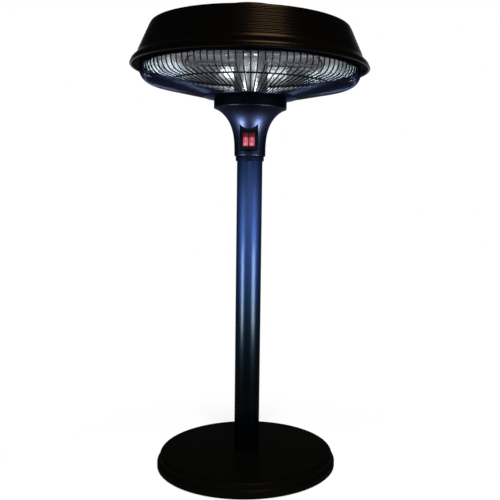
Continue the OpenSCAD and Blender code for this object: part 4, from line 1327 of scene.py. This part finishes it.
class HEATER_OT_lamps(bpy.types.Operator):
    """Make the quartz tubes with their necks, and the coiled filaments inside"""
    bl_idname = "heater.lamps"
    bl_label = "Make the lamps"

    def tube(self, node, sizes):
        """Closed wall of a tube: radius R (1 - share (1 + cos) / 2) over each neck, so that it narrows
        towards its ceramic ends. The inner face is a wall's width inside."""
        start, end = low(node), high(node)
        y, z = (start[1] + end[1]) / 2, (start[2] + end[2]) / 2
        x = np.concatenate([np.linspace(start[0], start[0] + QUARTZ_NECK, 8),
                            np.linspace(end[0] - QUARTZ_NECK, end[0], 8)])
        from_end = np.minimum(x - start[0], end[0] - x)
        r = sizes.lamp_radius * (1 - NECK_SHARE * faded(from_end, 0.0, QUARTZ_NECK))
        outer = np.stack([r, x], axis=1)
        inner = np.stack([r - QUARTZ_WALL, x], axis=1)[::-1]
        make_piece(node + "_quartz", turned_along_x(np.vstack([outer, inner]), 48, y, z), "quartz",
                   replaces=[node])
        return start[0], end[0], y, z

    def coil(self, ends, sizes):
        """Helix y = R cos a, z = R sin a with x rising evenly, and a straight tail at each end."""
        x0, x1, y, z = ends
        a = np.linspace(0.0, 2 * np.pi * sizes.coil_turns, sizes.coil_turns * 12 + 1)
        x = np.linspace(x0 + COIL_END, x1 - COIL_END, len(a))
        r = sizes.coil_radius
        helix = np.stack([x, y + r * np.cos(a), z + r * np.sin(a)], axis=1)
        parts = [tube_along(helix, COIL_WIRE, 5, (1.0, 0.0, 0.0))]
        for outside, inside in ((x0, helix[0]), (x1, helix[-1])):
            tail = np.linspace([outside, y, z], inside, 6)
            tail[1:5, 1] = y + r * np.linspace(0.0, 1.0, 4)
            parts.append(tube_along(tail, TAIL_WIRE, 8, (0.0, 0.0, 1.0)))
        return parts

    def execute(self, context):
        """The tubes, then both coils as one piece, and the ceramic ends as cylinders with round
        edges."""
        sizes = context.scene.heater_sizes
        parts = []
        for node in ("lamp_front", "lamp_rear"):
            parts += self.coil(self.tube(node, sizes), sizes)
        make_piece("filament_coils", joined(parts), "filament_wire", replaces=["lamp_filaments"],
                   sharp=60.0)
        ends = []
        for start, end in loose_boxes("lamp_caps"):
            radius = (end[2] - start[2]) / 2
            corners = [[0.0, start[0]], [radius, start[0]], [radius, end[0]], [0.0, end[0]]]
            middle = (start + end) / 2
            ends.append(turned_along_x(filleted(corners, CERAMIC_EDGE), 40, middle[1], middle[2]))
        make_piece("ceramic_ends", joined(ends), "ceramic", replaces=["lamp_caps"], weld=True)
        return {"FINISHED"}


# Turned fittings


FITTING_EDGE = 0.0004
COLLAR_EDGE = 0.0010
POST_GAP = 0.0001
COLUMN_WALL = 0.001
CAP_EDGE = 0.003
CAP_CROWN = 0.0035
CAP_SEAT = 0.002
NUT_SIDE = 0.00495
NUT_BORE = 0.0055


class HEATER_OT_fittings(bpy.types.Operator):
    """Make the collar, the bright column, the roof's cap and the round nut"""
    bl_idname = "heater.fittings"
    bl_label = "Make the turned fittings"

    def execute(self, context):
        """The collar and the column are turned outlines with an arc at each corner."""
        bottom, top = low("post_collar"), high("post_collar")
        inner = high("post_tube")[0] + POST_GAP
        collar = [[inner, bottom[2]], [top[0] - COLLAR_EDGE, bottom[2]],
                  [top[0], bottom[2] + COLLAR_EDGE], [top[0], top[2]], [inner, top[2]]]
        one_piece("collar_ring", filleted(collar, COLLAR_EDGE), "housing_plastic", ["post_collar"],
                  finish_name="collar_satin")
        bottom, top = low("centre_column"), high("centre_column")
        inner = top[0] - COLUMN_WALL
        column = [[inner, bottom[2]], [top[0], bottom[2]], [top[0], top[2]], [inner, top[2]]]
        one_piece("bright_column", filleted(column, FITTING_EDGE), "bright_aluminium",
                  ["centre_column"])
        self.cap(context.scene.heater_sizes)
        self.nut()
        return {"FINISHED"}

    def cap(self, sizes):
        """Path of the cap: up its side, round an arc, then z = edge + crown (1 - (1 - t)^2) towards the
        nut."""
        r, roof, top = high("top_cap")[0], low("top_cap")[2], high("top_cap")[2]
        edge = arc((r - CAP_EDGE, top - CAP_CROWN - CAP_EDGE), CAP_EDGE, 0.0, 90.0, 10)
        t = np.linspace(0.0, 1.0, 16)[1:]
        seat = high("top_nut")[0] + CAP_SEAT
        crown = np.stack([(r - CAP_EDGE) * (1 - t) + seat * t,
                          top - CAP_CROWN + CAP_CROWN * (1 - (1 - t) ** 2)], axis=1)
        path = np.vstack([[[r, roof]], edge, crown, [[ROD_HOLE, top]]])
        one_piece("cap_shell", sheet_outline(path, sizes.sheet), "shade_paint", ["top_cap"])

    def nut(self):
        """A short cylinder with a quarter ellipse for its dome, and a blind bore for the rod."""
        r, bottom, top = high("top_nut")[0], low("top_nut")[2], high("top_nut")[2]
        a = np.radians(np.linspace(0.0, 90.0, 14))
        rise = top - bottom - NUT_SIDE
        dome = np.stack([r * np.cos(a), bottom + NUT_SIDE + rise * np.sin(a)], axis=1)
        foot = [[ROD_HOLE, bottom], [r - FITTING_EDGE, bottom], [r, bottom + FITTING_EDGE]]
        bore = [[0.0, bottom + NUT_BORE], [ROD_HOLE, bottom + NUT_BORE]]
        make_piece("round_nut", turned(np.vstack([foot, dome, bore]), 96), "black_plastic",
                   replaces=["top_nut"], weld=True)


# Fasteners

# The recess is given in shares of the head's radius, and its depth in a share of the head's height.

RECESS_REACH = 0.58
RECESS_WIDTH = 0.19
RECESS_SOFT = 0.07
RECESS_DEPTH = 0.55
THREAD_DEPTH = 0.00022
THREAD_PITCH = 0.0008
POINT_SHARE = 0.8
HEAD_SIDE = 0.4
HEAD_ROUND = 0.8
HEAD_EDGE = 0.0002


def cross_recess(x, y, head_radius):
    """1 inside the cross of a screw's head and 0 outside, with soft edges: the larger of two bars."""
    def bar(p, q):
        across = faded(np.abs(p), (RECESS_WIDTH - RECESS_SOFT) * head_radius,
                       RECESS_WIDTH * head_radius)
        along = faded(np.abs(q), (RECESS_REACH - 3 * RECESS_SOFT) * head_radius,
                      RECESS_REACH * head_radius)
        return across * along
    return np.maximum(bar(x, y), bar(y, x))


def pan_screw(head_radius, head_height, shank_radius, shank):
    """Screw with its seat at z = 0 and its head above. The shank has ridges r - depth |sin|, the head
    is a low dome r = R cos(a)^0.8, z = h (0.4 + 0.6 sin a), and the recess is sunk into it."""
    z = np.arange(-shank, -THREAD_PITCH, THREAD_PITCH / 4)
    depth = THREAD_DEPTH * np.abs(np.sin(2 * np.pi * z / THREAD_PITCH))
    ridge = np.stack([shank_radius - depth, z], axis=1)
    a = np.radians(np.linspace(0.0, 90.0, 30))
    dome = np.stack([head_radius * np.cos(a) ** HEAD_ROUND,
                     head_height * (HEAD_SIDE + (1 - HEAD_SIDE) * np.sin(a))], axis=1)
    point = [[0.0, -shank], [shank_radius * POINT_SHARE, -shank]]
    seat = [[shank_radius, 0.0], [head_radius - HEAD_EDGE, 0.0], [head_radius, HEAD_EDGE]]
    points, faces = turned(np.vstack([point, ridge, seat, dome]), 48)
    sink = cross_recess(points[:, 0], points[:, 1], head_radius) * RECESS_DEPTH * head_height
    on_head = points[:, 2] > HEAD_SIDE * head_height
    points[:, 2] -= np.where(on_head, sink, 0.0)
    return points, faces


SCREW_GROUPS = (("disc_screws", 1), ("rim_screws", -1), ("bracket_screws", -1), ("foot_screws", -1))
SCREW_SHANK = 0.0019
SCREW_HEAD = 0.0022
SCREW_TURN = 0.9
CLIP_SHEET = 0.0012
CLIP_HOOK = 0.0024
CLIP_WIDTH = 0.008
CLIP_ROUND = 0.0003


class HEATER_OT_screws(bpy.types.Operator):
    """Make the pan-head screws with their cross recesses, and the guard's clips"""
    bl_idname = "heater.screws"
    bl_label = "Make the screws"

    def execute(self, context):
        """A screw for each solid of a node, at the middle of its box, head up where the way is 1 and
        down where it is -1, and each turned a little further than the one before."""
        for node, way in SCREW_GROUPS:
            parts = []
            for index, (bottom, top) in enumerate(loose_boxes(node)):
                radius = (top[0] - bottom[0]) / 2
                shank = top[2] - bottom[2] - SCREW_HEAD
                points, faces = pan_screw(radius, SCREW_HEAD, SCREW_SHANK, shank)
                c, s = math.cos(SCREW_TURN * index), math.sin(SCREW_TURN * index)
                x, y = points[:, 0] * c - points[:, 1] * s, points[:, 0] * s + points[:, 1] * c
                z = way * points[:, 2]
                seat = top[2] - SCREW_HEAD if way > 0 else bottom[2] + SCREW_HEAD
                middle = (bottom + top) / 2
                points = np.stack([middle[0] + x, middle[1] + y, seat + z], axis=1)
                parts.append((points, faces if way > 0 else [face[::-1] for face in faces]))
            slot = "black_paint" if node == "rim_screws" else "screw_steel"
            make_piece(node + "_heads", joined(parts), slot, replaces=[node], sharp=40.0, weld=True)
        self.clips(context.scene.heater_sizes)
        return {"FINISHED"}

    def clips(self, sizes):
        """J-shaped strips inside the guard's rim: a rounded profile (r, z), carried across their
        width."""
        ring = (high("guard_rim")[2] - low("guard_rim")[2]) / 2
        top = high("guard_wires")[2]
        wire_r = high("guard_rim")[0] - ring
        inner = wire_r - ring - WELD_GAP - CLIP_SHEET
        bottom = low("guard_rim")[2] - WELD_GAP - CLIP_SHEET
        hook = inner + CLIP_SHEET + CLIP_HOOK
        corners = [[inner, top], [inner, bottom], [hook, bottom], [hook, bottom + CLIP_SHEET],
                   [inner + CLIP_SHEET, bottom + CLIP_SHEET], [inner + CLIP_SHEET, top]]
        profile = filleted(corners, CLIP_ROUND)
        loops = [across_y(profile, y) for y in (-CLIP_WIDTH / 2, CLIP_WIDTH / 2)]
        clips = len(loose_boxes("guard_clips"))
        angles = (sizes.wire_turn - np.pi / 2 + np.pi / sizes.wire_count
                  + np.arange(clips) * 2 * np.pi / clips)
        make_piece("clips", carried_round(lofted(loops), angles), "guard_paint",
                   replaces=["guard_clips"])


# Switch


FRAME_THICK = 0.002
FRAME_CORNER = 0.0022
FRAME_EDGE = 0.0007
FRAME_STEP = 0.0015
CELL_GAP = 0.0003
CELL_FLOOR = 0.013
CELL_CORNER = 0.0005
BAR_WIDTH = 0.0012
BAR_CORNER = 0.0003
BAR_BEVEL = 0.00025
BAR_LAP = 0.0004
PIVOT_DEPTH = 0.0025
PIN_RADIUS = 0.0013
ROCKER_PROUD = 0.0022
ROCKER_DISH = 0.0017
ROCKER_BACK = 0.0064
ROCKER_EDGE = 0.0007
ROCKER_PITCH = 0.00035
ROCKER_SOFT = 0.00055
ROCKER_REST = math.radians(-9.0)
MARK_RAISED = 0.00006
# The ring sits low on the rocker, where it is a printed mark and partly a painted highlight of the
# rocker's lower end.
RING_PLACE = 0.0086
RING_OUTER = 0.0020
RING_INNER = 0.0013
LINE_PLACE = 0.0022
LINE_SIZE = (0.0007, 0.0040)
LINE_CORNER = 0.0002


class HEATER_OT_switch(bpy.types.Operator):
    """Make the switch's rounded frame, its two rockers and their marks"""
    bl_idname = "heater.switch"
    bl_label = "Make the switch"

    def execute(self, context):
        sizes = context.scene.heater_sizes
        box_low, box_high = low("switch_body"), high("switch_body")
        self.front = box_low[1]
        self.middle_z = (box_low[2] + box_high[2]) / 2
        self.end_radius = math.hypot(sizes.rocker_height / 2, PIVOT_DEPTH)
        cell_width = sizes.rocker_width + 2 * CELL_GAP
        cell_height = 2 * (self.end_radius + CELL_GAP)
        self.frame(box_high[0] * 2, box_high[2] - box_low[2], box_high[1], cell_width, cell_height)
        offset = (cell_width + BAR_WIDTH) / 2
        for side, body in ((-1, "rocker_left"), (1, "rocker_right")):
            self.rocker(side * offset, body, sizes)
            self.marks(side * offset, body)
        return {"FINISHED"}

    def frame(self, width, height, back, cell_width, cell_height):
        """Loops of rounded rectangles: from the floor of the openings up their walls, over the front
        face with quarter arcs at both edges, down the outside and round the body to its back."""
        loops = []

        def loop(w, h, radius, y):
            loops.append(across_y(rounded_rectangle(w, h, radius), y, self.middle_z))

        inner_w, inner_h = 2 * cell_width + BAR_WIDTH, cell_height
        loop(inner_w, inner_h, CELL_CORNER, self.front + CELL_FLOOR)
        a = np.radians(np.linspace(0.0, 90.0, 5))
        for b in a:
            grow = FRAME_EDGE * (1 - math.cos(b))
            loop(inner_w + grow, inner_h + grow, CELL_CORNER + grow / 2,
                 self.front + FRAME_EDGE / 2 * (1 - math.sin(b)))
        for b in a:
            grow = 2 * FRAME_EDGE * (1 - math.sin(b))
            loop(width - grow, height - grow, FRAME_CORNER - grow / 4,
                 self.front + FRAME_EDGE * (1 - math.cos(b)))
        loop(width, height, FRAME_CORNER, self.front + FRAME_THICK)
        for y in (self.front + FRAME_THICK, back):
            loop(width - 2 * FRAME_STEP, height - 2 * FRAME_STEP, FRAME_STEP, y)
        bar = []
        for depth, inset in ((CELL_FLOOR, 0.0), (BAR_CORNER, 0.0), (0.0, BAR_BEVEL)):
            flat = rounded_rectangle(BAR_WIDTH - 2 * inset, inner_h + BAR_LAP, BAR_CORNER - inset)
            bar.append(across_y(flat, self.front + depth, self.middle_z))
        make_piece("switch_frame", joined([lofted(loops), lofted(bar)]), "switch_plastic",
                   replaces=["switch_body"], sharp=45.0)

    def face_depth(self, z, half):
        """Distance of the face in front of the pivot: dished by a cosine between its two ends."""
        return PIVOT_DEPTH + ROCKER_PROUD - ROCKER_DISH * 0.5 * (1 + np.cos(np.pi * z / half))

    def to_rest(self, form, x):
        """A form about the pivot, turned to the rest angle and moved to its place."""
        points, faces = form
        c, s = math.cos(ROCKER_REST), math.sin(ROCKER_REST)
        y = points[:, 1] * c - points[:, 2] * s
        z = points[:, 1] * s + points[:, 2] * c
        place = [points[:, 0] + x, y + self.front + PIVOT_DEPTH, z + self.middle_z]
        return np.stack(place, axis=1), faces

    def rocker(self, x, body, sizes):
        """Section: the dished face, then arcs about the pivot to the flat back. It is carried across
        the width, and drawn in by edge (1 - cos b) where x nears each side by edge (1 - sin b)."""
        r = self.end_radius
        depth = PIVOT_DEPTH + ROCKER_PROUD
        half = math.sqrt(r ** 2 - depth ** 2)
        z = np.linspace(-half, half, 40)
        face = np.stack([-self.face_depth(z, half), z], axis=1)
        a = np.linspace(math.asin(depth / r), -math.asin(ROCKER_BACK / r), 20)
        top = np.stack([-r * np.sin(a), r * np.cos(a)], axis=1)
        bottom = np.stack([-r * np.sin(a[::-1]), -r * np.cos(a[::-1])], axis=1)
        section = softened(np.vstack([face, top[1:], bottom[:-1]]), ROCKER_PITCH, ROCKER_SOFT)
        inward = left_normals(section, True)
        centre = section.mean(axis=0)
        if np.sum(inward * (centre - section)) < 0:
            inward = -inward
        b = np.radians(np.linspace(0.0, 90.0, 6))
        x_end = sizes.rocker_width / 2 - ROCKER_EDGE * (1 - np.sin(b))
        drawn_in = ROCKER_EDGE * (1 - np.cos(b))
        places = [(-p, d) for p, d in zip(x_end[::-1], drawn_in[::-1])] + list(zip(x_end, drawn_in))
        parts = [lofted([across_x(section + inset * inward, place) for place, inset in places])]
        ring = arc((0.0, 0.0), PIN_RADIUS, 0.0, 360.0, 25)[:-1]
        for start, end in ((low(body)[0] - x, -sizes.rocker_width / 2 + ROCKER_EDGE),
                           (sizes.rocker_width / 2 - ROCKER_EDGE, high(body)[0] - x)):
            parts.append(lofted([across_x(ring, start), across_x(ring, end)]))
        make_piece(body + "_cap", self.to_rest(joined(parts), x), "rocker_red", body=body,
                   replaces=[body], sharp=50.0)

    def marks(self, x, body):
        """A short line above and a ring below, each a slab that follows the dished face."""
        half = math.sqrt(self.end_radius ** 2 - (PIVOT_DEPTH + ROCKER_PROUD) ** 2)

        def slab(rows):
            points = []
            for raised in (MARK_RAISED, -2 * MARK_RAISED):
                for flat in rows:
                    y = -self.face_depth(flat[:, 1], half) - raised
                    points.append(np.stack([flat[:, 0], y, flat[:, 1]], axis=1))
            return points

        a = np.linspace(0.0, 2 * np.pi, 40, endpoint=False)
        circle = np.stack([np.cos(a), np.sin(a)], axis=1)
        place = np.array([0.0, -RING_PLACE])
        outer, inner, outer_back, inner_back = slab(
            [place + RING_OUTER * circle, place + RING_INNER * circle])
        ring_points = np.vstack([outer, inner, inner_back, outer_back])
        ring_faces = grid_faces(4, len(a), True, True)
        line = rounded_rectangle(*LINE_SIZE, LINE_CORNER) + np.array([0.0, LINE_PLACE])
        both = joined([(ring_points, facing_out(ring_points, ring_faces)), lofted(slab([line]))])
        make_piece(body + "_marks", self.to_rest(both, x), "rocker_red", body=body,
                   finish_name="rocker_mark")


# Leads


LEAD_RADIUS = 0.0015
LEAD_CLEAR = 0.0065


class HEATER_OT_leads(bpy.types.Operator):
    """Make the lamps' silicone leads"""
    bl_idname = "heater.leads"
    bl_label = "Make the leads"

    def routes(self):
        """Corners of the two kinds of route in one quarter: out of the ceramic end, through the
        ceiling, down beside the rod, and on to the switch or to the terminal block."""
        mm = 0.001
        end_x = high("lamp_caps")[0]
        y = abs(low("lamp_front")[1] + high("lamp_front")[1]) / 2
        z = (low("lamp_front")[2] + high("lamp_front")[2]) / 2
        bracket = low("lamp_bracket_right")[0]
        ceiling = high("centre_column")[2]
        over = ceiling + LEAD_CLEAR
        plate = low("centre_column")[2]
        flange = low("guard_disc")[2]
        hole_x, hole_y, down_x, down_y = bracket - 13.5 * mm, 10 * mm, 16 * mm, 9 * mm
        start = [
            [end_x, y, z], [end_x + 4 * mm, y - mm, z + mm], [end_x + 4 * mm, y - 9 * mm, z + 9 * mm],
            [end_x - 6 * mm, y - 18 * mm, z + 17 * mm], [bracket - 4 * mm, y - 27 * mm, z + 20 * mm],
            [hole_x + 3 * mm, 26 * mm, z + 23 * mm], [hole_x, hole_y + mm, ceiling - 8 * mm],
            [hole_x, hole_y, ceiling + mm], [hole_x - 7 * mm, hole_y, over], [70 * mm, hole_y, over],
            [down_x + 7 * mm, down_y, over], [down_x, down_y, ceiling + mm],
            [down_x, down_y, ceiling - 12 * mm], [down_x, down_y, plate + 12 * mm],
            [down_x, down_y, flange - 6 * mm]]
        tilt = low("tilt_switch")[2]
        block = high("terminal_block")[2]
        tabs = high("switch_terminals")[2]
        to_block = [[13 * mm, 13 * mm, tilt + 22 * mm], [12 * mm, 15 * mm, tilt],
                    [10.5 * mm, 15.5 * mm, block + 4 * mm], [10 * mm, 15.5 * mm, block]]
        to_switch = [[13 * mm, 8 * mm, tabs + 34 * mm], [9.5 * mm, 6 * mm, tabs + 12 * mm],
                     [6.5 * mm, 4 * mm, tabs + 4 * mm], [6.5 * mm, 3.8 * mm, tabs]]
        return np.array(start + to_block), np.array(start + to_switch)

    def execute(self, context):
        """One lead in each quarter: its route is mirrored in X and Y where that quarter needs it."""
        to_block, to_switch = self.routes()
        parts = []
        for sx in (-1, 1):
            for sy, route in ((1, to_block), (-1, to_switch)):
                path = smooth_route(route, 7) * np.array([sx, sy, 1])
                parts.append(carried_tube(path, LEAD_RADIUS, 12))
        make_piece("silicone_leads", joined(parts), "lead_silicone", replaces=["lamp_leads"],
                   sharp=60.0)
        return {"FINISHED"}


# Aim

# The slots whose pieces each of the named lights reaches; the other lights reach all of them.

LINKED = {
    "post": ({"post_paint", "housing_paint"}, ("front",)),
    "coats": ({"post_paint", "housing_plastic", "housing_paint", "guard_paint"},
              ("tall_left", "tall_right")),
    "column": ({"bright_aluminium"}, ("side_left", "side_right")),
    "metal": ({"reflector_aluminium"}, ("low_left", "low_right")),
}


class HEATER_OT_aim(bpy.types.Operator):
    """Let each light for the gloss, but the warm one, reach only the finishes it is meant for"""
    bl_idname = "heater.aim"
    bl_label = "Aim the lights"

    def execute(self, context):
        slots = {row["node"]: row["material_slot"] for row in frame["record"]["subparts"]}
        for name, (wanted, lights) in LINKED.items():
            group = bpy.data.collections.new(name)
            pieces = {node for key, node in NODES.items() if slots.get(key) in wanted}
            pieces |= {piece for piece in context.scene.objects if piece.get("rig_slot") in wanted}
            for piece in sorted(pieces, key=lambda item: item.name):
                group.objects.link(piece)
            for light in lights:
                bpy.data.objects[light].light_linking.receiver_collection = group
        return {"FINISHED"}


# Add-on


STEPS = ("heater.studio", "heater.finishes", "heater.shade", "heater.base", "heater.post",
         "heater.reflector", "heater.guard", "heater.lamps", "heater.fittings", "heater.screws",
         "heater.switch", "heater.leads", "heater.aim")


class HEATER_PT_panel(bpy.types.Panel):
    """Panel in the 3D view's sidebar with a button for each step"""
    bl_idname = "HEATER_PT_panel"
    bl_label = "Tabletop heater"
    bl_space_type = "VIEW_3D"
    bl_region_type = "UI"
    bl_category = "Heater"

    def draw(self, context):
        scene = context.scene
        for settings in (scene.heater_sizes, scene.heater_colours, scene.heater_studio):
            for key in settings.bl_rna.properties.keys():
                if key not in {"rna_type", "name"}:
                    self.layout.prop(settings, key)
        for step in STEPS:
            self.layout.operator(step)


CLASSES = (HeaterSizes, HeaterColours, StudioValues, HEATER_OT_finishes, HEATER_OT_studio,
           HEATER_OT_shade, HEATER_OT_base, HEATER_OT_post, HEATER_OT_reflector, HEATER_OT_guard,
           HEATER_OT_lamps, HEATER_OT_fittings, HEATER_OT_screws, HEATER_OT_switch,
           HEATER_OT_leads, HEATER_OT_aim, HEATER_PT_panel)


def register():
    for each in CLASSES:
        bpy.utils.register_class(each)
    bpy.types.Scene.heater_sizes = bpy.props.PointerProperty(type=HeaterSizes)
    bpy.types.Scene.heater_colours = bpy.props.PointerProperty(type=HeaterColours)
    bpy.types.Scene.heater_studio = bpy.props.PointerProperty(type=StudioValues)


def unregister():
    del bpy.types.Scene.heater_studio
    del bpy.types.Scene.heater_colours
    del bpy.types.Scene.heater_sizes
    for each in reversed(CLASSES):
        bpy.utils.unregister_class(each)


def main():
    register()
    for step in STEPS:
        group, name = step.split(".")
        getattr(getattr(bpy.ops, group), name)()


if __name__ == "__main__":
    main()
